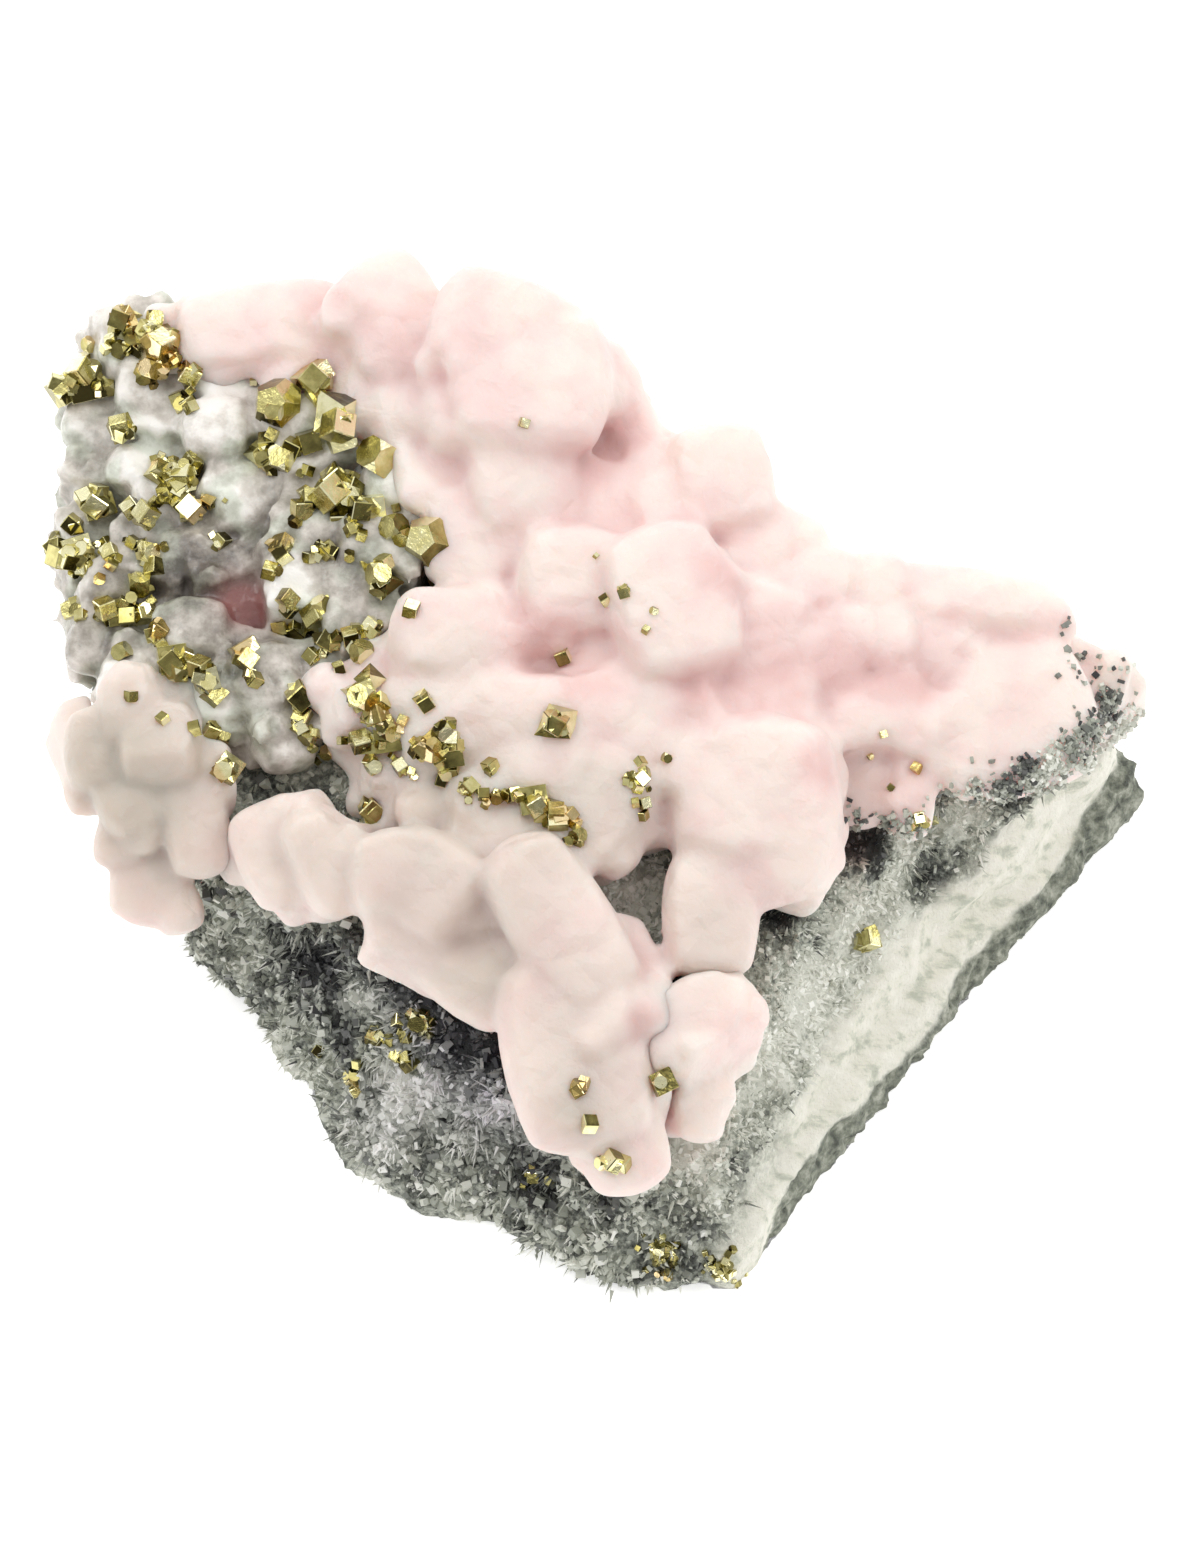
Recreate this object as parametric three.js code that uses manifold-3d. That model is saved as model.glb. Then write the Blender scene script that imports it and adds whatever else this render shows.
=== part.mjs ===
// A hand specimen of mangano calcite: pale pink, blunt calcite crystals and brassy pyrite grown over a lump
// of grey-green rock, with a crust of milky quartz at its left end.
// Millimetres, +Z up. The rock stands on its flat broken foot, with the origin in the middle of that foot.
// The side that is shown faces -Y, and it is looked down on at DISPLAY_TILT.

import * as THREE from 'three';
import Module from 'manifold-3d';
import { ConvexGeometry } from 'three/addons/geometries/ConvexGeometry.js';
import { ImprovedNoise } from 'three/addons/math/ImprovedNoise.js';
import { mergeVertices } from 'three/addons/utils/BufferGeometryUtils.js';

const wasm = await Module();
wasm.setup();

// Driving dimensions
const DISPLAY_TILT = THREE.MathUtils.degToRad(60);
const AIM_HEIGHT = 20;
const BED_HEIGHT = 24;
const BED_RISE = 0.16;
const BED_SAG = 0.0035;
const FRONT_DROP = 0.02;
const FRONT_START = -15;
const ROCK_UNDER_BED = 1.6;
const SEAT_GAP = 0.32;

// Height of the bed that the crystals stand on: it rises to the back, and drops to the sides and the tip.
function bedHeight(x, y) {
  const beyondFront = Math.max(0, FRONT_START - y);
  return BED_HEIGHT + BED_RISE * y - BED_SAG * x * x - FRONT_DROP * beyondFront * beyondFront;
}

// The point that stands rise over the bed and is seen right and up of the middle from the display angle.
function seenAt(right, up, rise) {
  let y = up;
  let z = BED_HEIGHT;
  for (let step = 0; step < 12; step++) {
    z = bedHeight(right, y) + rise;
    y = (up - Math.cos(DISPLAY_TILT) * (z - AIM_HEIGHT)) / Math.sin(DISPLAY_TILT);
  }
  return new THREE.Vector3(right, y, z);
}

// A number from 0 to 1 that is always the same for the same seed.
function chance(seed) {
  const s = Math.sin(seed * 127.1 + 11.7) * 43758.5453;
  return s - Math.floor(s);
}

// Solids and meshes

function solidOf(geometry) {
  const bare = geometry.clone();
  bare.deleteAttribute('normal');
  bare.deleteAttribute('uv');
  const merged = mergeVertices(bare, 1e-4);
  const triVerts = new Uint32Array(merged.index.array);
  return new wasm.Manifold(
    new wasm.Mesh({ numProp: 3, vertProperties: merged.attributes.position.array, triVerts }),
  );
}

function geometryOf(solid) {
  const { vertProperties, triVerts } = solid.getMesh();
  const geometry = new THREE.BufferGeometry();
  geometry.setAttribute('position', new THREE.BufferAttribute(vertProperties, 3));
  geometry.setIndex(new THREE.BufferAttribute(triVerts, 1));
  const faceted = geometry.toNonIndexed();
  faceted.computeVertexNormals();
  return faceted;
}

function joined(solids) {
  return solids.reduce((sum, solid) => sum.add(solid));
}

function largestBody(solid) {
  const bodies = solid.decompose();
  return bodies.reduce((best, body) => (body.volume() > best.volume() ? body : best));
}

// Rock

// One row for each corner of the rock: its foot's x and y, then its shoulder's, where the side meets the bed.
const CORNERS = [
  [11.0, -37.9, 8.0, -33.5],
  [17.8, -28.7, 12.5, -26.5],
  [26.0, -18.2, 15.5, -14.5],
  [33.4, -6.6, 24.5, -4.0],
  [41.0, 2.0, 36.0, 3.5],
  [44.2, 9.2, 42.0, 9.2],
  [31.0, 11.0, 31.0, 12.0],
  [14.0, 16.0, 14.0, 17.0],
  [1.5, 24.0, 1.0, 25.5],
  [-16.0, 31.5, -15.0, 33.0],
  [-34.5, 34.5, -34.0, 36.0],
  [-40.5, 24.0, -42.0, 25.0],
  [-38.5, 8.0, -40.5, 9.0],
  [-34.5, -4.0, -33.5, -4.0],
  [-28.0, -11.6, -25.0, -11.0],
  [-20.6, -27.6, -16.5, -18.5],
  [-8.4, -32.0, -7.0, -25.5],
  [0.8, -37.6, 0.5, -32.5],
];
const ROUND_STEPS = 58;
// The hard rind round the foot: heights of its rows, and how far each row stands out of the side.
const RIND_ROWS = [
  [0.0, -0.7],
  [2.2, 0.5],
  [4.8, 0.8],
  [5.8, -0.5],
];
// Heights of the rows above the rind, as shares of the shoulder's. The last is over the bed, and is cut off.
const SIDE_SHARES = [0.46, 0.64, 0.82, 1.0, 1.25];
const LUMP_SIZE = 5.5;
const LUMP_HEIGHT = 1.6;
const LEDGE_SIZE = 2.6;
const LEDGE_HEIGHT = 0.8;
const NOISE_SHIFT = 7.3;
const BED_GRID = { width: 100, depth: 90, across: 8, along: 9, bottom: -4 };

const noise = new ImprovedNoise();

// Broken rock stands in and out by lumps, with small ledges on them.
function brokenness(x, y, z) {
  const lumps = noise.noise(x / LUMP_SIZE, y / LUMP_SIZE, z / LUMP_SIZE + NOISE_SHIFT);
  const ledges = noise.noise(x / LEDGE_SIZE + NOISE_SHIFT, y / LEDGE_SIZE, z / LEDGE_SIZE);
  return LUMP_HEIGHT * lumps + LEDGE_HEIGHT * ledges;
}

function ringThrough(column) {
  const points = CORNERS.map((corner) => new THREE.Vector3(corner[column], corner[column + 1], 0));
  const curve = new THREE.CatmullRomCurve3(points, true, 'centripetal');
  return Array.from({ length: ROUND_STEPS }, (_, i) => curve.getPoint(i / ROUND_STEPS));
}

// The rows of the broken side, from the foot up.
function sideRows() {
  const foot = ringThrough(0);
  const shoulder = ringThrough(2);
  const sidePoint = (i, height, stand) => {
    const before = foot[(i + ROUND_STEPS - 1) % ROUND_STEPS];
    const after = foot[(i + 1) % ROUND_STEPS];
    const outward = new THREE.Vector3(after.y - before.y, before.x - after.x, 0).normalize();
    const shoulderHeight = bedHeight(shoulder[i].x, shoulder[i].y) - ROCK_UNDER_BED;
    const p = foot[i].clone().lerp(shoulder[i], height / shoulderHeight);
    p.addScaledVector(outward, stand + brokenness(p.x, p.y, height));
    p.z = height;
    return p;
  };
  return [
    ...RIND_ROWS.map(([height, stand]) => foot.map((_, i) => sidePoint(i, height, stand))),
    ...SIDE_SHARES.map((share) =>
      shoulder.map((p, i) => sidePoint(i, share * (bedHeight(p.x, p.y) - ROCK_UNDER_BED), 0)),
    ),
  ];
}

// The side as a closed skin from the foot to over the bed, swollen outwards by grown.
function sideGeometry(grown) {
  const rows = sideRows();
  const points = rows.flat();
  const footMiddle = points.push(new THREE.Vector3(0, 0, 0)) - 1;
  const topMiddle = points.push(new THREE.Vector3(0, 4, 2 * BED_HEIGHT)) - 1;
  const index = [];
  for (let row = 0; row < rows.length; row++) {
    for (let i = 0; i < ROUND_STEPS; i++) {
      const a = row * ROUND_STEPS + i;
      const b = row * ROUND_STEPS + ((i + 1) % ROUND_STEPS);
      if (row === 0) index.push(footMiddle, b, a);
      if (row === rows.length - 1) index.push(a, b, topMiddle);
      else index.push(a, b, b + ROUND_STEPS, a, b + ROUND_STEPS, a + ROUND_STEPS);
    }
  }
  const geometry = new THREE.BufferGeometry().setFromPoints(points);
  geometry.setIndex(index);
  geometry.computeVertexNormals();
  const place = geometry.attributes.position;
  const normal = geometry.attributes.normal;
  for (let i = 0; i < place.count; i++) {
    const moved = new THREE.Vector3().fromBufferAttribute(place, i);
    moved.addScaledVector(new THREE.Vector3().fromBufferAttribute(normal, i), grown);
    place.setXYZ(i, moved.x, moved.y, moved.z);
  }
  return geometry;
}

// Everything that lies lower than the rock's bed, which is raised by grown.
function underBedGeometry(grown) {
  const { width, depth, across, along, bottom } = BED_GRID;
  const geometry = new THREE.BoxGeometry(width, depth, 1, across, along, 1);
  const place = geometry.attributes.position;
  for (let i = 0; i < place.count; i++) {
    const surface = bedHeight(place.getX(i), place.getY(i)) - ROCK_UNDER_BED + grown;
    place.setZ(i, place.getZ(i) > 0 ? surface : bottom);
  }
  return geometry;
}

function rockSolid(grown = 0) {
  return solidOf(sideGeometry(grown)).intersect(solidOf(underBedGeometry(grown)));
}

// Calcite and quartz

const CHAMFER = 0.22;
const SMALL = 7.6;
const UNEVENNESS = 0.12;
const RHOMB_LEAN = 0.16;
// Where a nailhead's column ends under its tip, as shares of its height from its middle.
const HIGH_EDGE = 0.34;
const LOW_EDGE = 0.24;
// How far a column's edges move out for its faces to move out by one.
const COLUMN_GROWTH = 1.2;
const LARGEST_TIP = 16;

// A blunt rhomb: a leaned box, no two quite alike. The larger ones have their top edges worn off.
function rhombGeometry(width, depth, height, seed, grown) {
  const x = width / 2 + grown;
  const y = depth / 2 + grown;
  const z = height / 2 + grown;
  const least = Math.min(width, depth, height);
  const worn = least < SMALL ? 0 : CHAMFER * least;
  const levels = worn > 0 ? [[0, -z], [0, z - worn], [worn, z]] : [[0, -z], [0, z]];
  const points = [];
  for (let corner = 0; corner < 4; corner++) {
    const reach = 1 - UNEVENNESS * chance(seed * 4 + corner);
    const xSide = reach * (corner === 0 || corner === 3 ? -1 : 1);
    const ySide = reach * (corner < 2 ? -1 : 1);
    for (const [inset, level] of levels) {
      points.push(new THREE.Vector3(xSide * (x - inset) + RHOMB_LEAN * level, ySide * (y - inset), level));
    }
  }
  return new ConvexGeometry(points);
}

// A nailhead: a six-sided column closed at each end by three low faces.
function nailheadGeometry(width, depth, height, seed, grown) {
  const points = [];
  for (const end of [-1, 1]) {
    for (let i = 0; i < 6; i++) {
      const angle = (i * Math.PI) / 3;
      const edgeShare = (i % 2 === 0) === end > 0 ? HIGH_EDGE : LOW_EDGE;
      const reach = 1 - (UNEVENNESS / 2) * chance(seed * 12 + i);
      const x = (reach * width) / 2 + grown * COLUMN_GROWTH;
      const y = (reach * depth) / 2 + grown * COLUMN_GROWTH;
      const level = end * (edgeShare * height + grown);
      points.push(new THREE.Vector3(x * Math.cos(angle), y * Math.sin(angle), level));
    }
    points.push(new THREE.Vector3(0, 0, end * (height / 2 + grown)));
  }
  return new ConvexGeometry(points);
}

const HABITS = { rhomb: rhombGeometry, nailhead: nailheadGeometry };

// A crystal is [right, up, rise, width, depth, height, turn, lean, habit]: where its middle is seen from the
// display angle, how high it stands over the bed, its size, its turn about the vertical and its lean to the
// back, in mm and degrees.
function crystalAt([right, up, rise, width, depth, height, turn, lean, habit = 'rhomb'], seed, grown) {
  const geometry = HABITS[habit](width, depth, height, seed, grown);
  const tilt = new THREE.Euler(
    THREE.MathUtils.degToRad(lean),
    THREE.MathUtils.degToRad(LARGEST_TIP * (chance(seed + 0.5) - 0.5)),
    THREE.MathUtils.degToRad(turn),
    'ZXY',
  );
  geometry.applyMatrix4(new THREE.Matrix4().makeRotationFromEuler(tilt));
  const place = seenAt(right, up, rise);
  geometry.translate(place.x, place.y, place.z);
  return solidOf(geometry);
}

function grownTogether(crystals, firstSeed, grown = 0) {
  return joined(crystals.map((crystal, i) => crystalAt(crystal, firstSeed + i, grown)));
}

const MAIN_CALCITE = [
  // back edge, from left to right
  [-34.0, 34.2, 1.4, 8.0, 7.0, 7.0, 12, 5],
  [-27.4, 35.2, 2.8, 12.8, 8.0, 8.0, 4, 3],
  [-17.5, 36.2, 5.0, 9.2, 9.2, 9.8, 44, 6],
  [-8.2, 33.6, 6.8, 13.4, 11.0, 12.0, -29, 4],
  [-4.4, 28.4, 3.6, 9.0, 8.5, 9.5, -34, 0],
  [1.2, 27.6, 0.6, 4.6, 4.8, 6.4, 12, 0],
  [9.6, 22.3, 3.8, 7.0, 7.4, 8.2, 8, 0],
  [13.0, 17.2, 1.6, 8.4, 6.6, 6.6, -32, -4],
  [19.6, 12.8, 2.8, 8.0, 8.0, 7.2, -6, 0],
  [23.2, 12.0, 2.2, 7.0, 7.6, 6.4, 2, 0],
  [30.4, 10.7, 2.3, 15.4, 7.8, 6.4, -17, 0],
  [42.0, 5.6, -1.2, 4.6, 6.0, 6.4, -44, 0],
  // behind the pyrite at the left
  [-23.4, 30.8, 2.0, 9.0, 7.0, 6.6, -8, 0],
  [-18.4, 29.6, 2.6, 9.0, 8.2, 7.2, 14, 0],
  [-13.4, 24.8, 3.2, 9.0, 8.6, 7.4, 20, 4],
  [-9.4, 18.0, 3.8, 9.0, 8.0, 7.4, -8, 2, 'nailhead'],
  // upper middle
  [-6.4, 23.4, 4.6, 7.4, 7.4, 8.6, 42, 0],
  [-0.6, 24.2, 2.8, 7.2, 6.6, 6.6, 8, 0],
  [4.2, 23.6, 2.6, 7.0, 6.2, 6.4, -24, 0, 'nailhead'],
  [3.4, 20.4, 3.8, 7.4, 6.6, 6.4, 30, 0],
  [-1.2, 19.8, 3.8, 6.6, 6.0, 6.4, -12, 0],
  [-2.6, 14.8, 4.2, 8.8, 8.6, 8.2, 14, 0],
  [5.2, 14.0, 4.6, 11.0, 11.0, 9.4, 32, 0],
  [13.0, 13.4, 3.2, 8.6, 8.4, 7.2, -14, 0],
  [18.4, 8.4, 2.0, 8.0, 6.6, 6.2, 10, 0],
  [12.6, 7.8, 2.4, 10.0, 8.2, 7.0, -6, 0],
  // right shoulder
  [33.4, 4.2, 2.8, 13.4, 10.2, 8.2, -14, -3, 'nailhead'],
  [39.2, 6.4, 0.8, 7.2, 8.4, 5.8, -28, 0],
  [21.2, 3.8, 2.2, 12.0, 6.6, 6.4, 8, 0],
  [22.2, -1.0, -0.6, 9.6, 6.6, 6.0, -4, 0],
  // middle, down to the open pocket
  [-5.6, 11.0, 0.8, 7.2, 7.0, 5.6, 0, 0],
  [1.6, 7.0, 2.4, 8.8, 8.2, 7.0, -12, 0],
  [6.6, 4.4, 3.0, 9.0, 8.4, 7.6, 16, 0],
  [9.8, -1.0, 3.2, 9.0, 9.0, 8.0, -8, 0],
  [14.0, -1.4, 4.0, 10.2, 9.2, 8.6, 12, 0],
  [15.6, -6.8, 2.4, 8.0, 7.6, 7.8, -16, 0],
  [9.0, -11.2, 2.2, 7.4, 10.4, 7.4, 6, -8, 'nailhead'],
  [5.2, -2.6, 1.2, 6.6, 6.4, 5.6, 24, 0],
  // left of the middle, under the pyrite
  [-12.0, 11.2, 4.4, 10.8, 8.0, 7.8, 6, 0],
  [-16.0, 5.8, 3.2, 10.0, 8.2, 7.0, -18, 0],
  [-10.4, 4.6, 3.6, 11.4, 8.6, 7.8, 8, 0],
  [-20.4, 5.2, 2.2, 6.4, 6.2, 6.2, 24, 0],
  [-4.2, 3.4, 3.4, 10.4, 9.2, 8.0, -14, 0],
  [-1.2, -1.8, 3.4, 9.6, 8.8, 7.8, 12, 0, 'nailhead'],
  [-6.8, -4.4, 2.2, 11.4, 7.4, 7.0, -22, 0],
  [-0.4, -5.2, 1.8, 7.4, 6.0, 6.4, -30, 0],
  [-12.8, -2.6, 1.2, 8.8, 6.4, 6.0, -16, 0],
  [-16.6, 0.4, 0.8, 7.2, 6.2, 5.6, 8, 0],
];

const FRONT_CALCITE = [
  // the long crystals that run down to the front tip
  [-4.2, -12.6, 3.2, 8.2, 10.8, 8.0, 26, -4],
  [-0.8, -19.2, 2.8, 8.8, 12.2, 8.0, 28, -6],
  [0.2, -25.6, 2.4, 8.4, 9.6, 7.6, 34, -8],
  [1.9, -30.4, 1.2, 6.6, 6.8, 6.4, 36, -10, 'nailhead'],
  [2.2, -17.4, 1.2, 5.8, 9.4, 6.8, 22, 0],
  [3.2, -23.6, 0.8, 4.8, 6.6, 5.8, 12, 0],
  // the rounded blocks left of them
  [-14.6, -9.2, 3.2, 11.6, 7.4, 7.2, -10, 0, 'nailhead'],
  [-12.6, -14.2, 0.8, 12.2, 8.0, 6.4, -26, -6],
  [-7.8, -17.2, 0.4, 7.6, 6.4, 6.2, -30, 0],
  // small white blocks at their left end
  [-27.2, -6.4, 1.6, 4.6, 5.0, 6.4, 24, 0],
  [-24.2, -6.2, 2.2, 4.8, 5.4, 6.4, -8, 0],
  [-21.4, -8.2, 2.2, 5.6, 6.2, 6.6, 16, 0],
  [-24.6, -9.6, 0.6, 4.6, 4.4, 5.4, 34, 0],
];

const FRONT_KNOB = [
  [8.4, -21.2, 2.0, 8.8, 7.4, 8.0, 34, -4],
  [7.4, -26.2, -0.2, 6.4, 5.6, 6.0, 10, 0],
];

const LEFT_CLUSTER = [
  [-37.4, 3.8, 2.8, 8.4, 7.2, 7.2, -6, 0],
  [-42.0, 2.4, -0.6, 5.0, 6.4, 6.6, 18, 0],
  [-36.2, -2.8, -0.4, 8.2, 8.0, 8.2, 10, 0],
  [-36.6, -7.2, -3.0, 5.4, 5.0, 6.0, -20, 0],
  [-33.4, -1.8, 0.6, 6.4, 6.2, 6.4, 28, 0],
];

const QUARTZ_CRUST = [
  [-38.6, 34.6, 0.6, 7.0, 6.6, 6.4, 14, 0],
  [-35.4, 29.4, 1.2, 7.6, 6.8, 6.4, -12, 0],
  [-30.2, 29.2, 1.8, 6.6, 7.4, 6.2, 8, 0],
  [-41.0, 29.6, -0.8, 5.8, 6.4, 6.4, 30, 0],
  [-40.4, 24.8, -0.4, 7.4, 6.6, 6.2, -18, 0],
  [-35.4, 23.6, 1.0, 7.6, 7.0, 5.8, 22, 0],
  [-29.4, 23.8, 1.2, 7.4, 6.4, 6.2, -8, 0],
  [-23.8, 26.4, 2.4, 7.6, 7.0, 6.6, 18, 0],
  [-23.2, 20.4, 2.0, 7.8, 7.0, 6.6, -14, 0],
  [-41.6, 18.4, -1.4, 6.4, 6.6, 6.8, 16, 0],
  [-36.6, 17.6, 0.6, 7.6, 6.6, 5.8, -24, 0],
  [-30.6, 17.6, 0.8, 7.4, 7.2, 5.8, 12, 0],
  [-17.4, 18.2, 2.8, 7.6, 6.8, 6.6, -18, 0],
  [-24.4, 14.8, 1.8, 7.4, 6.6, 6.6, 8, 0],
  [-19.6, 12.2, 2.0, 6.8, 6.0, 6.0, 26, 0],
  [-40.0, 11.8, -0.6, 6.8, 6.4, 6.6, 6, 0],
  [-33.6, 10.6, 2.2, 7.0, 6.6, 6.4, 20, 0, 'nailhead'],
  [-37.8, 7.4, 1.4, 6.8, 6.0, 6.0, -12, 0],
  [-28.4, 7.8, 1.2, 7.4, 6.6, 6.4, -20, 0],
  [-26.0, 4.2, 0.8, 6.6, 5.8, 5.8, 10, 0],
  [-32.2, 4.2, 0.4, 6.4, 5.6, 5.4, 0, 0],
];

// Crystals that hang over the back edge, out of sight from the front.
const BACK_CALCITE = [
  [-31.0, 33.4, -3.4, 9.0, 8.0, 8.0, 10, 24],
  [-21.0, 35.0, -3.0, 9.4, 8.2, 8.4, -16, 22],
  [-11.0, 32.6, -3.0, 9.4, 8.2, 8.8, -24, 20],
  [-2.6, 27.6, -3.2, 8.2, 7.4, 8.0, -34, 22],
  [7.6, 20.0, -3.2, 11.0, 7.6, 7.6, -30, 20],
  [18.4, 13.0, -3.2, 11.0, 7.4, 7.2, -20, 20],
  [30.8, 10.0, -3.0, 8.8, 7.0, 6.6, -10, 20],
  [37.8, 7.8, -3.0, 6.8, 6.4, 6.4, -26, 20],
];

// Pyrite

// Forms by their size. The last two are given by the radius of their corners.
const CUBE = (size) => new THREE.BoxGeometry(size, size, size);
const OCTAHEDRON = (size) => new THREE.OctahedronGeometry(0.72 * size);
const PYRITOHEDRON = (size) => new THREE.DodecahedronGeometry(0.62 * size);

// Pyrite on the face that is shown, as name: [right, up] of its middle, then its crystals, each as
// [form, size, x, y, z, turn, lean] about that middle.
const PYRITE = {
  left_top_pair: [
    [-38.8, 36.6],
    [[OCTAHEDRON, 3.0, 0, 0, 0.4, 20, 30], [CUBE, 1.9, 0.6, -1.6, 0.2, 50, 20]],
  ],
  left_top_cluster: [
    [-36.2, 34.8],
    [
      [CUBE, 2.9, 0, 0, 0.4, 20, 50],
      [CUBE, 2.2, 1.5, 0.6, 0.4, 30, 40],
      [CUBE, 2.0, -0.6, -1.9, 0.2, 10, 20],
    ],
  ],
  tarnished_cluster: [
    [-42.6, 32.0],
    [[CUBE, 2.9, 0.2, 0, 0.4, 15, 30], [CUBE, 2.2, -1.4, -0.4, 0.3, 40, 30]],
  ],
  bright_cube: [[-33.4, 32.7], [[CUBE, 1.9, 0, 0, 0.5, 35, 25]]],
  small_left_cube: [[-39.3, 28.3], [[CUBE, 1.8, 0, 0, 0.4, 25, 15]]],
  dark_ball: [[-26.4, 30.3], [[PYRITOHEDRON, 3.6, 0, 0, 0.5, 30, 10]]],
  arc_top: [[-23.4, 32.0], [[CUBE, 2.9, 0, 0, 0.5, 40, 40]]],
  arc_side: [
    [-21.5, 29.4],
    [[OCTAHEDRON, 3.6, 0, 0, 0.4, 40, 20], [CUBE, 2.2, 0.2, -1.9, 0.3, 20, 30]],
  ],
  ridge_cluster: [
    [-27.4, 26.1],
    [[CUBE, 2.6, 0, 0, 0.4, 50, 35], [OCTAHEDRON, 2.6, 1.6, -0.8, 0.3, 15, 20]],
  ],
  small_knob_cube: [[-23.9, 27.2], [[CUBE, 1.7, 0, 0, 0.5, 20, 40]]],
  lone_cube: [[-18.0, 25.9], [[CUBE, 3.0, 0, 0, 0.6, 24, 34]]],
  middle_cluster: [
    [-22.0, 22.6],
    [
      [PYRITOHEDRON, 3.2, 0, 0, 0.4, 0, 20],
      [CUBE, 2.2, 1.9, -0.3, 0.3, 30, 30],
      [CUBE, 2.0, -1.8, -0.7, 0.3, 60, 15],
    ],
  ],
  bright_block: [[-18.8, 21.6], [[CUBE, 2.3, 0, 0, 0.5, 10, 40]]],
  right_upper: [[-14.0, 19.0], [[PYRITOHEDRON, 3.6, 0, 0, 0.6, 20, 15]]],
  right_lower: [[-13.2, 16.0], [[CUBE, 3.0, 0, 0, 0.5, 40, 25], [OCTAHEDRON, 2.6, 1.2, 0.4, 0.4, 10, 50]]],
  knob_pair: [[-17.9, 15.7], [[OCTAHEDRON, 2.8, 0, 0, 0.5, 0, 15], [CUBE, 1.8, -0.9, 1.3, 0.3, 30, 40]]],
  left_edge_ball: [[-41.4, 22.2], [[CUBE, 2.6, 0, 0, 0.4, 20, 30]]],
  left_nest: [
    [-34.4, 24.0],
    [
      [CUBE, 2.2, 0, 0, 0.5, 15, 25],
      [OCTAHEDRON, 2.6, 1.6, 0.7, 0.3, 40, 10],
      [CUBE, 1.9, -1.7, 0.5, 0.3, 55, 35],
    ],
  ],
  flat_bright_cube: [[-33.6, 21.5], [[CUBE, 1.9, 0, 0, 0.5, 5, 10]]],
  corner_cube: [[-37.3, 21.2], [[CUBE, 1.9, 0, 0, 0.4, 45, 45]]],
  left_edge_nest: [
    [-43.0, 18.2],
    [[CUBE, 2.4, 0, 0, 0.4, 20, 30], [OCTAHEDRON, 2.6, 1.2, -1.2, 0.4, 0, 0]],
  ],
  shining_cube: [[-37.7, 15.5], [[CUBE, 1.9, 0, 0, 0.6, 15, 20]]],
  lower_left_nest: [
    [-39.0, 13.3],
    [[CUBE, 2.2, -0.4, 0, 0.4, 10, 35], [OCTAHEDRON, 2.4, 1.2, -0.3, 0.3, 30, 10]],
  ],
  knob_foot: [
    [-35.0, 9.1],
    [[CUBE, 2.4, 0, 0, 0.3, 10, 20], [CUBE, 1.9, 1.4, -0.8, 0.3, 25, 40]],
  ],
  tall_pair: [[-29.0, 9.8], [[CUBE, 2.1, 0, 0, 0.5, 35, 30], [OCTAHEDRON, 2.2, 0.5, -1.6, 0.3, 10, 20]]],
  step_pair: [[-32.3, 7.8], [[CUBE, 1.9, 0, 0, 0.5, 20, 45], [CUBE, 1.6, 0.7, -1.4, 0.3, 50, 20]]],
  white_edge_pair: [[-24.4, 6.4], [[CUBE, 2.2, 0, 0, 0.5, 12, 28], [CUBE, 1.7, 0.3, -1.7, 0.3, 44, 10]]],
  pocket_cube: [[-19.6, 6.3], [[CUBE, 2.2, 0, 0, 0.5, 28, 32], [OCTAHEDRON, 1.9, 0.8, 1.4, 0.2, 0, 15]]],
  pocket_nest: [
    [-17.3, 3.0],
    [
      [CUBE, 2.6, 0, 0, 0.4, 10, 30],
      [CUBE, 2.2, 1.8, 0.4, 0.4, 35, 25],
      [CUBE, 2.0, -1.9, -0.3, 0.3, 5, 40],
    ],
  ],
  pocket_edge: [[-13.2, 2.6], [[CUBE, 2.3, 0, 0, 0.4, 48, 22], [CUBE, 1.7, 1.1, -1.2, 0.3, 12, 38]]],
  bronze_wedge: [[-3.4, 4.1], [[OCTAHEDRON, 3.2, 0, 0, 0.3, 30, 8]]],
  long_row: [
    [-3.9, -3.1],
    [
      [CUBE, 2.3, -1.6, 0.9, 0.4, 10, 30],
      [OCTAHEDRON, 2.6, 0, 0, 0.4, 35, 10],
      [CUBE, 2.2, 1.7, -1.0, 0.4, 25, 40],
    ],
  ],
  low_block: [[-18.4, -3.3], [[CUBE, 2.4, 0, 0, 0.4, 18, 26], [CUBE, 1.5, 0.4, 1.5, 0.3, 40, 12]]],
  left_slope_block: [[-30.6, 0.2], [[CUBE, 2.1, 0, 0, 0.4, 60, 20]]],
  tip_cluster: [[1.3, -31.9], [[OCTAHEDRON, 2.3, 0, 0, 0.4, 15, 12], [CUBE, 1.5, 0.9, 0.9, 0.3, 40, 30]]],
  tip_middle: [[-0.8, -28.4], [[OCTAHEDRON, 1.9, 0, 0, 0.3, 50, 20]]],
  knob_grain: [[5.0, -25.2], [[CUBE, 1.9, 0, 0, 0.5, 30, 30]]],
  right_grain: [[21.9, -13.6], [[CUBE, 1.8, 0, 0, 0.5, 20, 35]]],
};

const TOWARDS_VIEWER = new THREE.Vector3(0, -Math.cos(DISPLAY_TILT), Math.sin(DISPLAY_TILT));
const RIGHTWARDS = new THREE.Vector3(1, 0, 0);
const UPWARDS = new THREE.Vector3().crossVectors(TOWARDS_VIEWER, RIGHTWARDS);
const FAR = 200;

// The surface point that is seen right and up of the middle from the display angle.
function surfaceSeenAt(right, up, hosts) {
  const start = new THREE.Vector3(0, 0, AIM_HEIGHT);
  start.addScaledVector(RIGHTWARDS, right);
  start.addScaledVector(UPWARDS, up);
  start.addScaledVector(TOWARDS_VIEWER, FAR);
  const ray = new THREE.Raycaster(start, TOWARDS_VIEWER.clone().negate());
  const [hit] = ray.intersectObjects(hosts);
  return hit.point;
}

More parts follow.
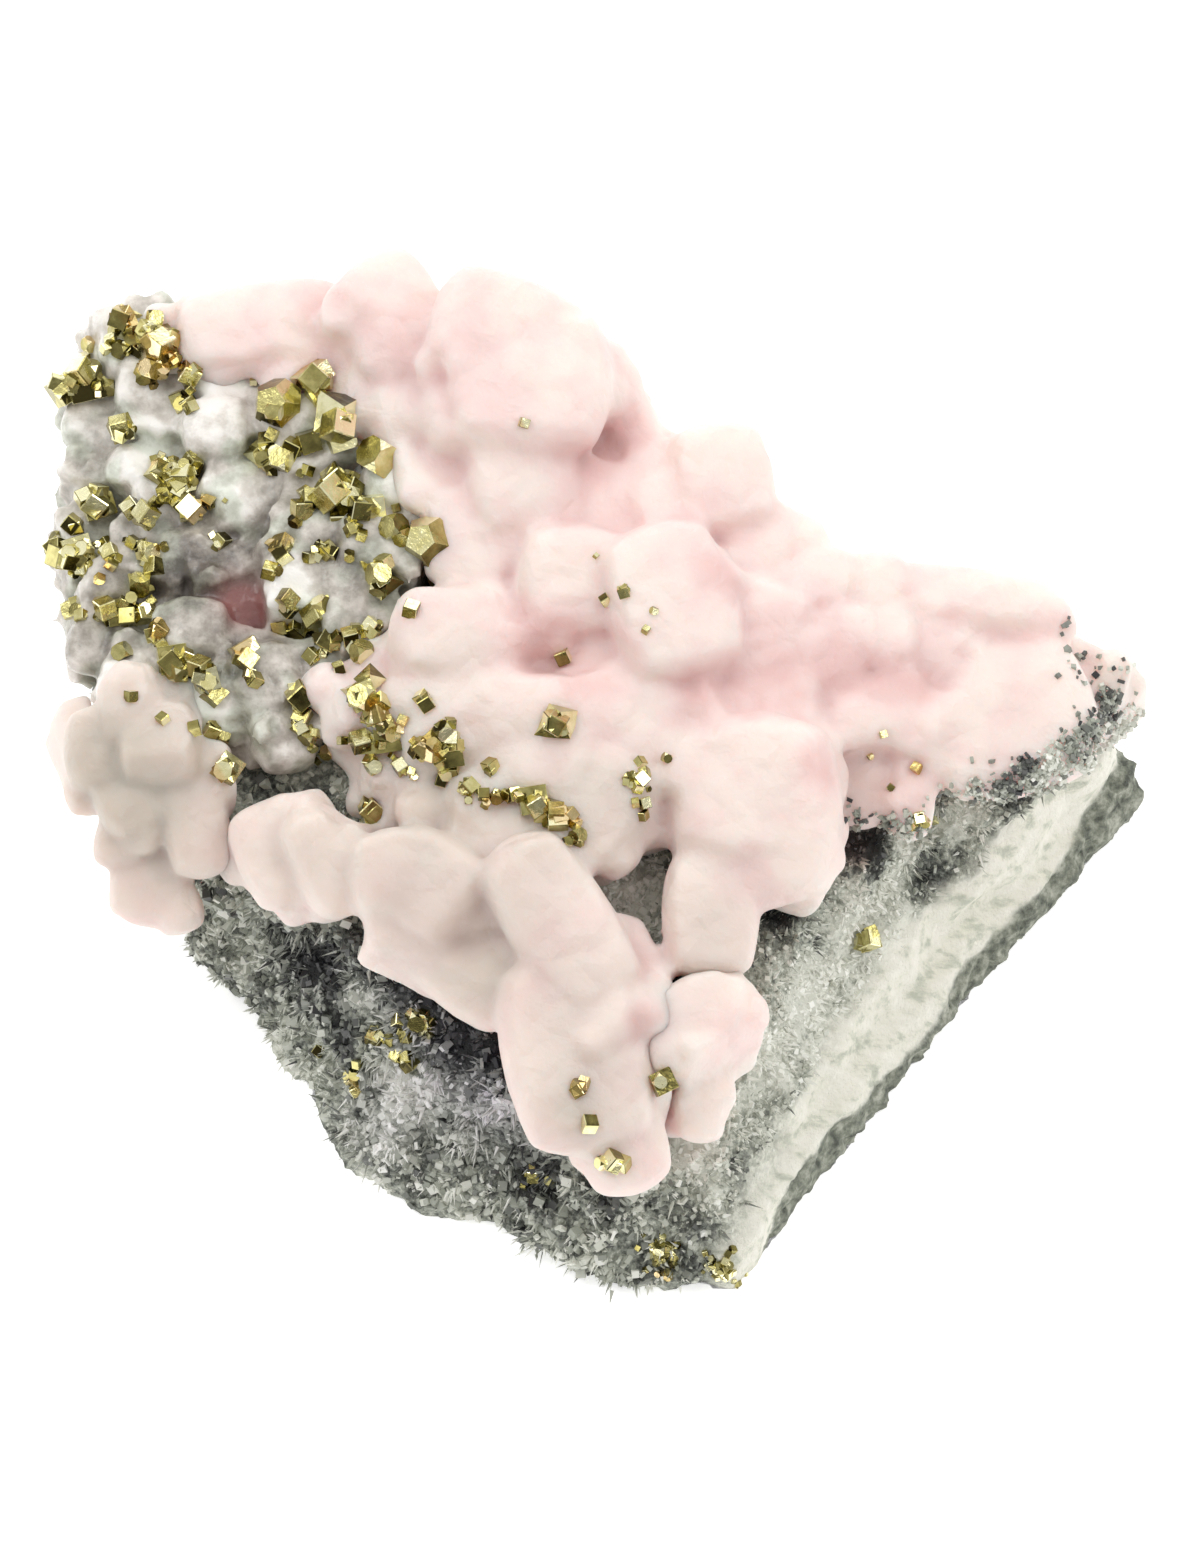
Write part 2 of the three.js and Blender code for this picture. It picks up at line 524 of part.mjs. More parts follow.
function pyriteCluster([, crystals], middle, grown = 0) {
  return joined(
    crystals.map(([form, size, x, y, z, turn, lean]) => {
      const geometry = form(size + 2 * grown);
      geometry.rotateX(THREE.MathUtils.degToRad(lean));
      geometry.rotateZ(THREE.MathUtils.degToRad(turn));
      const place = middle.clone();
      place.addScaledVector(RIGHTWARDS, x);
      place.addScaledVector(UPWARDS, y);
      place.addScaledVector(TOWARDS_VIEWER, z);
      geometry.translate(place.x, place.y, place.z);
      return solidOf(geometry);
    }),
  );
}

// Assembly

const MATERIALS = {
  rock: new THREE.MeshStandardMaterial({ color: 0x9aa197, roughness: 0.85, metalness: 0 }),
  calcite: new THREE.MeshStandardMaterial({ color: 0xf3d6d2, roughness: 0.45, metalness: 0 }),
  quartz: new THREE.MeshStandardMaterial({ color: 0xcfcac2, roughness: 0.35, metalness: 0 }),
  pyrite: new THREE.MeshStandardMaterial({ color: 0xb5a253, roughness: 0.3, metalness: 1 }),
};

const specimen = new THREE.Group();
specimen.name = 'mangano_calcite';

function addPiece(name, solid, material) {
  const mesh = new THREE.Mesh(geometryOf(solid), material);
  mesh.name = name;
  specimen.add(mesh);
  return mesh;
}

const SEEDS = { main: 100, front: 300, knob: 340, left: 360, quartz: 400, back: 500 };

// Each growth is listed after what it sits on, and is cut to stand SEAT_GAP off it.
const growths = [
  { name: 'quartz_crust', material: MATERIALS.quartz, parts: [[QUARTZ_CRUST, SEEDS.quartz]] },
  {
    name: 'calcite_main_mass',
    material: MATERIALS.calcite,
    parts: [
      [MAIN_CALCITE, SEEDS.main],
      [BACK_CALCITE, SEEDS.back],
      [FRONT_CALCITE, SEEDS.front],
    ],
  },
  { name: 'calcite_front_knob', material: MATERIALS.calcite, parts: [[FRONT_KNOB, SEEDS.knob]] },
  { name: 'calcite_left_cluster', material: MATERIALS.calcite, parts: [[LEFT_CLUSTER, SEEDS.left]] },
];

const hosts = [addPiece('rock', rockSolid(), MATERIALS.rock)];
let occupied = rockSolid(SEAT_GAP);
for (const { name, material, parts } of growths) {
  const body = joined(parts.map(([crystals, seed]) => grownTogether(crystals, seed)));
  hosts.push(addPiece(name, largestBody(body.subtract(occupied)), material));
  occupied = occupied.add(joined(parts.map(([crystals, seed]) => grownTogether(crystals, seed, SEAT_GAP))));
}
for (const [name, cluster] of Object.entries(PYRITE)) {
  const [[right, up]] = cluster;
  const middle = surfaceSeenAt(right, up, hosts);
  const whole = pyriteCluster(cluster, middle);
  addPiece('pyrite_' + name, largestBody(whole.subtract(occupied)), MATERIALS.pyrite);
  occupied = occupied.add(pyriteCluster(cluster, middle, SEAT_GAP));
}

export default specimen;
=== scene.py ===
import math

import bpy
import numpy as np
from mathutils import Matrix, Vector, noise
from mathutils.bvhtree import BVHTree


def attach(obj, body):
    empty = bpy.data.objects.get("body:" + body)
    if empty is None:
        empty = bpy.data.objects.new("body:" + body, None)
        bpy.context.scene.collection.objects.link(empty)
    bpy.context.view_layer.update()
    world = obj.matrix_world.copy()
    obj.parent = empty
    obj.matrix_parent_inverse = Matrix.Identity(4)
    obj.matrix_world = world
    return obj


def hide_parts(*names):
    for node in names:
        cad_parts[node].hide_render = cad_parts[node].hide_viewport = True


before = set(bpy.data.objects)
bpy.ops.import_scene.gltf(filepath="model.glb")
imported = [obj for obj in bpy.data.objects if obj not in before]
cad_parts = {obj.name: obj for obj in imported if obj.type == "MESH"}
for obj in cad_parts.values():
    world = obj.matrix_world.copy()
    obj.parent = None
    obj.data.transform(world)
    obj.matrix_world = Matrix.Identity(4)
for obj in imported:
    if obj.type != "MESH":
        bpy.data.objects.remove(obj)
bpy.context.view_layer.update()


def added(operator, name, **settings):
    """A new object, made by one of the operators that add one."""
    bpy.ops.object.select_all(action="DESELECT")
    operator(**settings)
    bpy.context.object.name = name
    return bpy.context.object


def fill(node, **values):
    """Sets a node's inputs by their names, with _ where a name has a space."""
    for socket, value in values.items():
        node.inputs[socket.replace("_", " ")].default_value = value


# The view. The specimen lies on its broken foot on a white table and is looked down on at 60 degrees,
# from far enough back that near and far crystals keep their size.
MM = 0.001
PHOTO_WIDTH = 1200
PHOTO_HEIGHT = 1551
PIXELS_PER_MM = 12.2
MIDDLE_PIXEL = (600, 773)
DISPLAY_TILT = math.radians(60)
AIM = Vector((0, 0, 20)) * MM
LENS = 1000
SENSOR = 36
FAR_CLIP = 20

rightwards = Vector((1, 0, 0))
towards_viewer = Vector((0, -math.cos(DISPLAY_TILT), math.sin(DISPLAY_TILT)))
upwards = towards_viewer.cross(rightwards)
frame_height = PHOTO_HEIGHT / PIXELS_PER_MM * MM
drop = (PHOTO_HEIGHT / 2 - MIDDLE_PIXEL[1]) / PIXELS_PER_MM * MM

camera = added(bpy.ops.object.camera_add, "camera")
camera.data.lens = LENS
camera.data.sensor_width = SENSOR
camera.location = AIM - drop * upwards + towards_viewer * (LENS * frame_height / SENSOR)
camera.rotation_euler = (math.pi / 2 - DISPLAY_TILT, 0, 0)
camera.data.clip_end = FAR_CLIP
bpy.context.scene.camera = camera
bpy.context.scene.view_settings.view_transform = "Standard"

# The table and the light. A white table lit from within, so that next to no shadow shows on it, broad soft
# lights from both sides and the back, and a pale room, darker low down, that gives the pyrite its contrast.
TABLE_SIZE = 4.0
TABLE_GLOW = 0.55
LIGHTS = {
    # name: place, size, watts
    "soft_light_left": ((-0.5, 0.1, 0.85), 0.5, 2.2),
    "soft_light_right": ((0.6, -0.1, 0.75), 0.45, 2.4),
    "soft_light_back": ((0.1, 0.8, 0.6), 0.5, 1.2),
}

table = added(bpy.ops.mesh.primitive_plane_add, "table", size=TABLE_SIZE)
table_white = bpy.data.materials.new("table_white")
table_white.use_nodes = True
fill(
    table_white.node_tree.nodes["Principled BSDF"], Base_Color=(0.9, 0.9, 0.9, 1), Roughness=0.9,
    Emission_Color=(1, 1, 1, 1), Emission_Strength=TABLE_GLOW,
)
table.data.materials.append(table_white)

for light_name, (place, size, watts) in LIGHTS.items():
    light = added(bpy.ops.object.light_add, light_name, type="AREA", location=place)
    light.data.size = size
    light.data.energy = watts
    light.rotation_euler = (AIM - light.location).to_track_quat("-Z", "Y").to_euler()

room = bpy.data.worlds.new("pale_room")
bpy.context.scene.world = room
room.use_nodes = True
room_nodes = room.node_tree.nodes
room_links = room.node_tree.links
facing = room_nodes.new("ShaderNodeTexCoord")
slope = room_nodes.new("ShaderNodeVectorMath")
slope.operation = "DOT_PRODUCT"
slope.inputs[1].default_value = (-0.25, 0.45, 0.85)
room_links.new(facing.outputs["Generated"], slope.inputs[0])
brightness = room_nodes.new("ShaderNodeMapRange")
fill(brightness, From_Min=-0.55, From_Max=0.9, To_Min=0.12, To_Max=0.95)
room_links.new(slope.outputs["Value"], brightness.inputs["Value"])
room_links.new(brightness.outputs["Result"], room_nodes["Background"].inputs["Strength"])
fill(room_nodes["Background"], Color=(1.0, 0.995, 0.985, 1))


# The rock is broken vein rock: a dark green-grey rind round the foot, a band of chalky white over it on the
# right, and a druse of grey-green grains above. It is one lump, and it stands on the break at its foot.
ROCK_VOXEL = 0.5 * MM
ROCK_SOFTENING = 2
MERGE_DISTANCE = 0.002 * MM
WEIGHT_STEPS = 20
FOOT_HEIGHT = 0.35


def take(piece):
    """Makes piece the only selected object, and the active one."""
    bpy.ops.object.select_all(action="DESELECT")
    piece.select_set(True)
    bpy.context.view_layer.objects.active = piece


def edited(piece, operator, **settings):
    """Runs one of the edit mode operators on the whole of piece."""
    take(piece)
    bpy.ops.object.mode_set(mode="EDIT")
    bpy.ops.mesh.select_all(action="SELECT")
    operator(**settings)
    bpy.ops.object.mode_set(mode="OBJECT")


def copy_of(node, name):
    """A copy of a node's mesh as a new piece, with its loose triangles merged."""
    piece = bpy.data.objects.new(name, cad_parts[node].data.copy())
    bpy.context.scene.collection.objects.link(piece)
    piece.data.materials.clear()
    edited(piece, bpy.ops.mesh.remove_doubles, threshold=MERGE_DISTANCE)
    return piece


def shaped(piece, kind, **settings):
    """Adds a modifier with these settings to piece and applies it."""
    take(piece)
    modifier = piece.modifiers.new(kind.lower(), kind)
    for setting, value in settings.items():
        setattr(modifier, setting, value)
    bpy.ops.object.modifier_apply(modifier=modifier.name)


def lumpy(piece, name, size, strength, middle, detail=2, group=""):
    """Raises lumps of about this size on piece, as much as the group's weights say."""
    texture = bpy.data.textures.new(name, "CLOUDS")
    texture.noise_scale = size
    texture.noise_depth = detail
    shaped(
        piece, "DISPLACE", texture=texture, texture_coords="LOCAL", strength=strength, mid_level=middle,
        vertex_group=group,
    )


def rows(items, name, width=3, kind=np.float32):
    """What each of items holds by this name, as rows of numbers."""
    flat = np.empty(len(items) * width, kind)
    items.foreach_get(name, flat)
    return flat.reshape(-1, width)


def points_of(piece):
    """The piece's vertices, as rows of x, y and z in mm."""
    return rows(piece.data.vertices, "co") / MM


def normals_of(piece):
    """The direction that the surface faces at each vertex."""
    return rows(piece.data.vertex_normals, "vector")


def move_points(piece, points):
    """Puts the piece's vertices at these places, in mm."""
    piece.data.vertices.foreach_set("co", (points * MM).astype(np.float32).ravel())
    piece.data.update()


def keep_values(piece, name, values):
    """Keeps one number for each vertex as an attribute that a material can read."""
    attribute = piece.data.attributes.new(name, "FLOAT", "POINT")
    attribute.data.foreach_set("value", np.asarray(values, np.float32))


def keep_group(piece, name, weights):
    """Keeps a weight for each vertex as a vertex group, in even steps."""
    group = piece.vertex_groups.new(name=name)
    steps = np.round(np.clip(weights, 0, 1) * WEIGHT_STEPS).astype(int)
    for step in range(1, WEIGHT_STEPS + 1):
        members = np.nonzero(steps == step)[0]
        if len(members):
            group.add(members.tolist(), step / WEIGHT_STEPS, "REPLACE")


def unevenness(points, size, shift=0.0):
    """Smooth noise from about -1 to 1 at each point, whose lumps are about size mm across."""
    return np.array([noise.noise(Vector(p) / size + Vector((shift, shift, shift))) for p in points])


def ramp(values, low, high):
    """0 below low, 1 over high, and a smooth rise between them."""
    t = np.clip((values - low) / (high - low), 0, 1)
    return t * t * (3 - 2 * t)


rock = copy_of("rock", "rock_matrix")
shaped(rock, "REMESH", mode="VOXEL", voxel_size=ROCK_VOXEL)
shaped(rock, "SMOOTH", factor=0.5, iterations=ROCK_SOFTENING)

rock_points = points_of(rock)
x, y, z = rock_points.T
wander = unevenness(rock_points, 5.0) * 1.6 + unevenness(rock_points, 1.6, 3.1) * 0.9
# The rind's top and the chalk's top, in mm over the foot, along the right front side from its tip to its end.
RIND_TOP = (
    [8, 13, 15, 19, 22, 25, 28, 31, 34, 37, 42],
    [-3, -1, 4.2, 4.8, 3.4, 2.6, 3.0, 3.2, 4.6, 4.4, 6.4],
)
CHALK_TOP = ([2, 9, 20, 31, 41], [5.5, 10.2, 9.8, 11.2, 13.5])
rind_top = np.interp(x, *RIND_TOP)
chalk_top = np.interp(x, *CHALK_TOP)
right_front = ramp(x - 0.45 * (y + 38) + 0.5 * wander, 7.5, 11.5)
rind = (1 - ramp(z + 0.5 * wander, rind_top - 0.4, rind_top + 0.4)) * right_front
chalk = (1 - ramp(z + wander, chalk_top - 1.4, chalk_top + 1.4)) * right_front * (1 - rind)
behind = ramp(y - 0.2 * x, 6, 12)
rind = np.maximum(rind, (1 - ramp(z + wander, 5.0, 6.5)) * behind)
chalk = np.maximum(chalk * (1 - behind), behind * ramp(wander, 0.2, 1.0) * (1 - rind) * 0.8)
druse = np.clip(1 - rind - chalk, 0, 1)
for zone, weights in {"rind": rind, "chalk": chalk, "druse": druse}.items():
    keep_group(rock, zone + "_raised", weights)
lumpy(rock, "druse_knolls", 3.6 * MM, 2.6 * MM, 0.55, 1, "druse_raised")
lumpy(rock, "druse_lumps", 1.3 * MM, 1.3 * MM, 0.55, 3, "druse_raised")
lumpy(rock, "rind_lumps", 1.9 * MM, 1.7 * MM, 0.6, 2, "rind_raised")
lumpy(rock, "chalk_lumps", 2.4 * MM, 0.7 * MM, 0.55, 3, "chalk_raised")
rock_points = points_of(rock)
rock_points[:, 2] = np.where(z < FOOT_HEIGHT, 0, np.maximum(rock_points[:, 2], 0))
move_points(rock, rock_points)
rock.vertex_groups.clear()
keep_values(rock, "rind", rind)
keep_values(rock, "chalk", chalk)


def surface_of(*pieces):
    """The pieces' surface, in mm, for looking up what lies where."""
    points = []
    faces = []
    for piece in pieces:
        first = len(points)
        points.extend(points_of(piece).tolist())
        faces.extend([[first + i for i in face.vertices] for face in piece.data.polygons])
    return BVHTree.FromPolygons(points, faces)


def in_line(pixel_x, pixel_y):
    """The point in line with this pixel of the photograph, as far off as AIM, in mm."""
    across = (pixel_x - MIDDLE_PIXEL[0]) / PIXELS_PER_MM
    up = (MIDDLE_PIXEL[1] - pixel_y) / PIXELS_PER_MM
    return AIM / MM + rightwards * across + upwards * up


def seen_at(surface, pixel_x, pixel_y):
    """The point of a surface, in mm, that is seen at this pixel of the photograph, and its normal."""
    start = camera.location / MM
    point, normal, *_ = surface.ray_cast(start, (in_line(pixel_x, pixel_y) - start).normalized())
    return point, normal


# Dark and pale patches of the druse, as pixel x, pixel y, radius in mm and how much paler the patch is.
DRUSE_PATCHES = [
    (430, 1080, 4, 0.12), (640, 890, 4, 0.2), (560, 1210, 4, -0.04), (700, 1190, 3, 0.08),
    (300, 955, 3.4, -0.3), (345, 965, 3.6, -0.34), (395, 960, 3, -0.32), (430, 1000, 3, -0.3),
    (465, 1035, 3.2, -0.34), (500, 1075, 3, -0.3), (341, 1043, 2.4, -0.36), (225, 900, 3, 0.04),
    (536, 1176, 2.4, -0.34), (600, 1185, 2.4, -0.34), (628, 870, 3, -0.02), (640, 810, 2.4, -0.34),
    (800, 1028, 1.8, -0.26), (926, 880, 2.2, -0.36), (775, 914, 2, -0.4), (1020, 775, 2.6, -0.44),
    (1090, 728, 3, -0.34), (843, 836, 3, -0.5), (674, 994, 2.2, -0.4), (880, 850, 2.4, -0.26),
    (358, 991, 2.2, 0.26), (396, 1096, 2.4, 0.3), (363, 1165, 2, 0.22), (500, 1108, 2, 0.26),
    (815, 1008, 2.6, 0.24), (905, 838, 1.8, 0.3), (670, 1155, 2.4, 0.1), (585, 1195, 1.8, 0.22),
    (960, 810, 2.4, 0.2), (860, 920, 4, 0.26), (900, 960, 3.6, 0.3), (700, 1120, 3, 0.34),
    (830, 980, 5, 0.34), (770, 1060, 5, 0.3), (900, 900, 4, 0.2), (630, 890, 3, 0.25),
    (700, 1190, 4, 0.12),
]


def patched(surface, points, patches):
    """The patches' values, summed, at rows of points in mm. A patch fades over its radius."""
    total = np.zeros(len(points))
    for pixel_x, pixel_y, radius, value in patches:
        centre, _ = seen_at(surface, pixel_x, pixel_y)
        if centre:
            away = np.linalg.norm(points - np.array(centre), axis=1) / radius
            total += value * np.exp(-away * away)
    return total


# Where the druse is violet-grey and not green-grey, as pixel x, pixel y, radius in mm and strength.
VIOLET_PATCHES = [
    (430, 985, 5, 0.7), (470, 1060, 6, 0.8), (520, 1120, 5, 0.5), (320, 960, 4, 0.5), (380, 1120, 4, 0.4),
]
# Where it is maroon, under the calcite's edge, in the same four values.
MAROON_PATCHES = [(838, 838, 1.8, 1.0), (858, 852, 1.4, 0.8), (690, 990, 1.6, 0.7), (512, 1022, 1.4, 0.9)]
TINTS = {"violet": (VIOLET_PATCHES, (0.90, 0.86, 1.0)), "maroon": (MAROON_PATCHES, (1.0, 0.72, 0.70))}
rock_surface = surface_of(rock)


def druse_shade(points):
    """How much paler the druse is at each point, in mm, than its middle grey-green, below 0 where darker."""
    uneven = 0.20 * unevenness(points, 2.6, 5.2) + 0.12 * unevenness(points, 6.5, 1.4)
    return uneven + patched(rock_surface, points, DRUSE_PATCHES)


def keep_tints(piece, points):
    """Keeps how strong each tint is at piece's vertices, whose points in mm these are."""
    for name, (patches, _) in TINTS.items():
        keep_values(piece, name, patched(rock_surface, points, patches).clip(0, 1))


keep_values(rock, "shade", druse_shade(rock_points))
keep_tints(rock, rock_points)


class Finish:
    """A new material with its shader, and short ways to add the nodes that these minerals need."""

    def __init__(self, name):
        self.material = bpy.data.materials.new(name)
        self.material.use_nodes = True
        self.nodes = self.material.node_tree.nodes
        self.links = self.material.node_tree.links
        self.shader = self.nodes["Principled BSDF"]
        self.place = self.nodes.new("ShaderNodeTexCoord").outputs["Object"]

    def attribute(self, name):
        """The value that keep_values kept by this name."""
        node = self.nodes.new("ShaderNodeAttribute")
        node.attribute_name = name
        return node.outputs["Fac"]

    def texture(self, kind, size, turn, stretch):
        """A texture whose lumps are about size mm across, turned and drawn out by stretch."""
        mapping = self.nodes.new("ShaderNodeMapping")
        fill(mapping, Rotation=turn, Scale=stretch)
        node = self.nodes.new(kind)
        fill(node, Scale=1 / (size * MM))
        self.links.new(self.place, mapping.inputs["Vector"])
        self.links.new(mapping.outputs["Vector"], node.inputs["Vector"])
        return node

    def grain(self, size, detail=3.0, rough=0.55, stretch=(1, 1, 1), turn=(0, 0, 0)):
        """Smooth noise."""
        node = self.texture("ShaderNodeTexNoise", size, turn, stretch)
        fill(node, Detail=detail, Roughness=rough)
        return node.outputs["Fac"]

    def facets(self, size, turn):
        """The height of blunt four-sided blocks, 1 at their middles."""
        node = self.texture("ShaderNodeTexVoronoi", size, turn, (1, 1, 1))
        node.distance = "CHEBYCHEV"
        return self.sum(1, node.outputs["Distance"], "SUBTRACT")

    def span(self, value, low, high, out_low=0.0, out_high=1.0):
        """Value's stretch from low to high, spread over the two out values and held there."""
        node = self.nodes.new("ShaderNodeMapRange")
        node.interpolation_type = "SMOOTHSTEP"
        fill(node, From_Min=low, From_Max=high, To_Min=out_low, To_Max=out_high)
        self.links.new(value, node.inputs["Value"])
        return node.outputs["Result"]

    def sum(self, a, b, operation="ADD"):
        """a and b put together by this operation, each a number or a node's value."""
        node = self.nodes.new("ShaderNodeMath")
        node.operation = operation
        for socket, value in zip(node.inputs, (a, b)):
            if isinstance(value, (int, float)):
                socket.default_value = value
            else:
                self.links.new(value, socket)
        return node.outputs["Value"]

    def times(self, value, factor):
        return self.sum(value, factor, "MULTIPLY")

    def colours(self, share, *stops):
        """The colour at share along stops, each a place from 0 to 1 and a colour."""
        node = self.nodes.new("ShaderNodeValToRGB")
        elements = node.color_ramp.elements
        while len(elements) < len(stops):
            elements.new(0.5)
        for element, (place, colour) in zip(elements, stops):
            element.position = place
            element.color = (*colour, 1)
        self.links.new(share, node.inputs["Fac"])
        return node.outputs["Color"]

    def blended(self, share, a, b, how="MIX"):
        """Colour a, with b over it as much as share says."""
        node = self.nodes.new("ShaderNodeMix")
        node.data_type = "RGBA"
        node.blend_type = how
        colour_a, colour_b = [s for s in node.inputs if s.type == "RGBA"]
        for socket, value in ((node.inputs[0], share), (colour_a, a), (colour_b, b)):
            if isinstance(value, tuple):
                socket.default_value = (*value, 1)
            elif isinstance(value, float):
                socket.default_value = value
            else:
                self.links.new(value, socket)
        return [s for s in node.outputs if s.type == "RGBA"][0]

    def tinted(self, colour):
        """The druse's colour, with its tints over it."""
        for name, (_, tint) in TINTS.items():
            colour = self.blended(self.attribute(name), colour, tint, "MULTIPLY")
        return colour

    def bumped(self, height, depth):
        """Raises the shaded surface by height times depth, in mm."""
        node = self.nodes.new("ShaderNodeBump")
        fill(node, Distance=depth * MM)
        previous = self.shader.inputs["Normal"].links
        if previous:
            self.links.new(previous[0].from_socket, node.inputs["Normal"])
        self.links.new(height, node.inputs["Height"])
        self.links.new(node.outputs["Normal"], self.shader.inputs["Normal"])

    def coloured(self, colour):
        self.links.new(colour, self.shader.inputs["Base Color"])


stone = Finish("vein_rock")
speckle = stone.grain(0.55, 4, 0.65)
blotch = stone.grain(3.2, 3)
druse_tone = stone.sum(stone.times(speckle, 0.62), stone.times(blotch, 0.38))
druse_tone = stone.sum(druse_tone, stone.times(stone.attribute("shade"), 0.55))
druse_colour = stone.colours(
    druse_tone, (0.34, (0.035, 0.037, 0.034)), (0.44, (0.15, 0.16, 0.14)),
    (0.53, (0.38, 0.40, 0.34)), (0.64, (0.74, 0.75, 0.67)),
)
druse_colour = stone.tinted(druse_colour)
streak = stone.grain(1.3, 4, 0.6, (0.3, 1, 0.8), (0, 0, math.radians(-52)))
chalk_colour = stone.colours(
    streak, (0.34, (0.58, 0.60, 0.50)), (0.46, (0.86, 0.85, 0.74)), (0.6, (0.93, 0.91, 0.82)),
)
rind_colour = stone.colours(
    stone.grain(1.1, 4, 0.6), (0.34, (0.10, 0.11, 0.09)), (0.52, (0.29, 0.31, 0.25)),
    (0.68, (0.54, 0.55, 0.47)),
)
rock_colour = stone.blended(stone.attribute("chalk"), druse_colour, chalk_colour)
rock_colour = stone.blended(stone.attribute("rind"), rock_colour, rind_colour)
stone.coloured(rock_colour)
fill(stone.shader, Roughness=0.82, Specular_IOR_Level=0.3)
stone.bumped(stone.grain(0.35, 3, 0.7), 0.25)
rock.data.materials.append(stone.material)
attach(rock, "root")
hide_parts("rock")


# The druse on the rock is thousands of small needles, blades and grains, dark and glassy or white and silky.
# They stand out of the rock in tufts, and their tips reach past its edge along the lower left.
TUFTS = 1800
NEEDLES = 16000
NEEDLE_LEAN = 0.5
TUFT_REACH = (0.1, 1.1)
NEEDLE_SINK = 0.25 * MM
NEEDLE_WIDTH = (0.16, 0.5)
LONGEST_NEEDLE = 2.1
GRAINS = 9000
GRAIN_LEAN = 0.9
GRAIN_SIZE = (0.4, 0.95)
PAINTED_GLINT_SHARE = 0.07
TABLE_GAP = 0.02


def scattered(host, count, chances, rng):
    """Points strewn over host's faces, in metres, with the normal and the longest edge of each one's face."""
    mesh = host.data
    mesh.calc_loop_triangles()
    corners = rows(mesh.loop_triangles, "vertices", kind=np.int32)
    points = points_of(host) * MM
    a, b, c = (points[corners[:, i]] for i in range(3))
    across = np.cross(b - a, c - a)
    area = np.linalg.norm(across, axis=1)
    normals = across / np.maximum(area, 1e-15)[:, None]
    weights = area * chances((a + b + c) / 3 / MM, normals, corners)
    chosen = rng.choice(len(corners), count, p=weights / weights.sum())
    u, v = rng.random((2, count, 1))
    flip = u + v > 1
    u, v = np.where(flip, 1 - u, u), np.where(flip, 1 - v, v)
    places = a[chosen] + u * (b - a)[chosen] + v * (c - a)[chosen]
    edges = np.stack([b - a, c - b, a - c])[:, chosen]
    longest = np.argmax(np.linalg.norm(edges, axis=2), axis=0)
    along = edges[longest, np.arange(count)]
    return places, normals[chosen], along / np.linalg.norm(along, axis=1)[:, None]


def frames_at(places, outward, along, sizes):
    """4 x 4 frames at places, with z outward and x as near along as can be, scaled by sizes in metres."""
    z_axis = outward / np.linalg.norm(outward, axis=1)[:, None]
    y_axis = np.cross(z_axis, along)
    y_axis /= np.linalg.norm(y_axis, axis=1)[:, None]
    x_axis = np.cross(y_axis, z_axis)
    frames = np.zeros((len(places), 4, 4))
    frames[:, :3, 0] = x_axis * sizes[:, :1]
    frames[:, :3, 1] = y_axis * sizes[:, 1:2]
    frames[:, :3, 2] = z_axis * sizes[:, 2:3]
    frames[:, :3, 3] = places
    frames[:, 3, 3] = 1
    return frames


def in_triangles(piece):
    """Splits every face of piece into triangles."""
    edited(piece, bpy.ops.mesh.quads_convert_to_tris)


def many_of(model, name, frames, **values):
    """Joined copies of model, one for each 4 x 4 frame in metres, with each one's values as attributes."""
    corners = np.array([v.co for v in model.data.vertices])
    faces = np.array([list(f.vertices) for f in model.data.polygons])
    placed = np.einsum("nij,kj->nki", frames[:, :3, :3], corners) + frames[:, None, :3, 3]
    joined_faces = faces[None] + (np.arange(len(frames)) * len(corners))[:, None, None]
    mesh = bpy.data.meshes.new(name)
    joined_faces = joined_faces.reshape(-1, faces.shape[1])
    mesh.from_pydata(placed.reshape(-1, 3).tolist(), [], joined_faces.tolist())
    piece = bpy.data.objects.new(name, mesh)
    bpy.context.scene.collection.objects.link(piece)
    for value_name, numbers in values.items():
        keep_values(piece, value_name, np.repeat(numbers, len(corners)))
    return piece


def druse_chance(middles, normals, corners):
    """Where druse grows: on the rock's front and its bed, off the chalk and the rind, and not on the foot."""
    bare = np.clip(1 - 1.6 * np.maximum(rind, chalk)[corners].mean(axis=1), 0, 1)
    front = ramp(-middles[:, 1] + 0.25 * middles[:, 0], -12, 2)
    return bare * (0.12 + front) * (normals[:, 2] > -0.5) * (middles[:, 2] > 0.8)


needle = added(
    bpy.ops.mesh.primitive_cone_add, "needle", vertices=4, radius1=0.5, radius2=0, depth=1,
    location=(0, 0, 0.5),
)
bpy.ops.object.transform_apply(location=True)
in_triangles(needle)

rng = np.random.default_rng(31)
tuft_places, tuft_outward, _ = scattered(rock, TUFTS, druse_chance, rng)
in_tuft = rng.integers(0, TUFTS, NEEDLES)
lean = rng.normal(0, NEEDLE_LEAN, (NEEDLES, 3))
outward = tuft_outward[in_tuft] + lean
reach = rng.uniform(*TUFT_REACH, (NEEDLES, 1)) * MM
places = tuft_places[in_tuft] + lean * reach - tuft_outward[in_tuft] * NEEDLE_SINK
left_low = ramp(-places[:, 0] / MM, -9, 4)[:, None] * ramp(-places[:, 1] / MM, 4, 16)[:, None]
length = rng.gamma(4.0, 0.14, (NEEDLES, 1)) * (0.8 + 0.55 * left_low) + 0.3
width = rng.uniform(*NEEDLE_WIDTH, (NEEDLES, 1))
thickness = width * rng.uniform(0.4, 0.9, (NEEDLES, 1))
sizes = np.hstack([width, thickness, np.minimum(length, LONGEST_NEEDLE)]) * MM
tuft_tone = rng.normal(0.62, 0.16, TUFTS)
needle_tone = druse_shade(places / MM) + tuft_tone[in_tuft] + rng.normal(0, 0.09, NEEDLES)
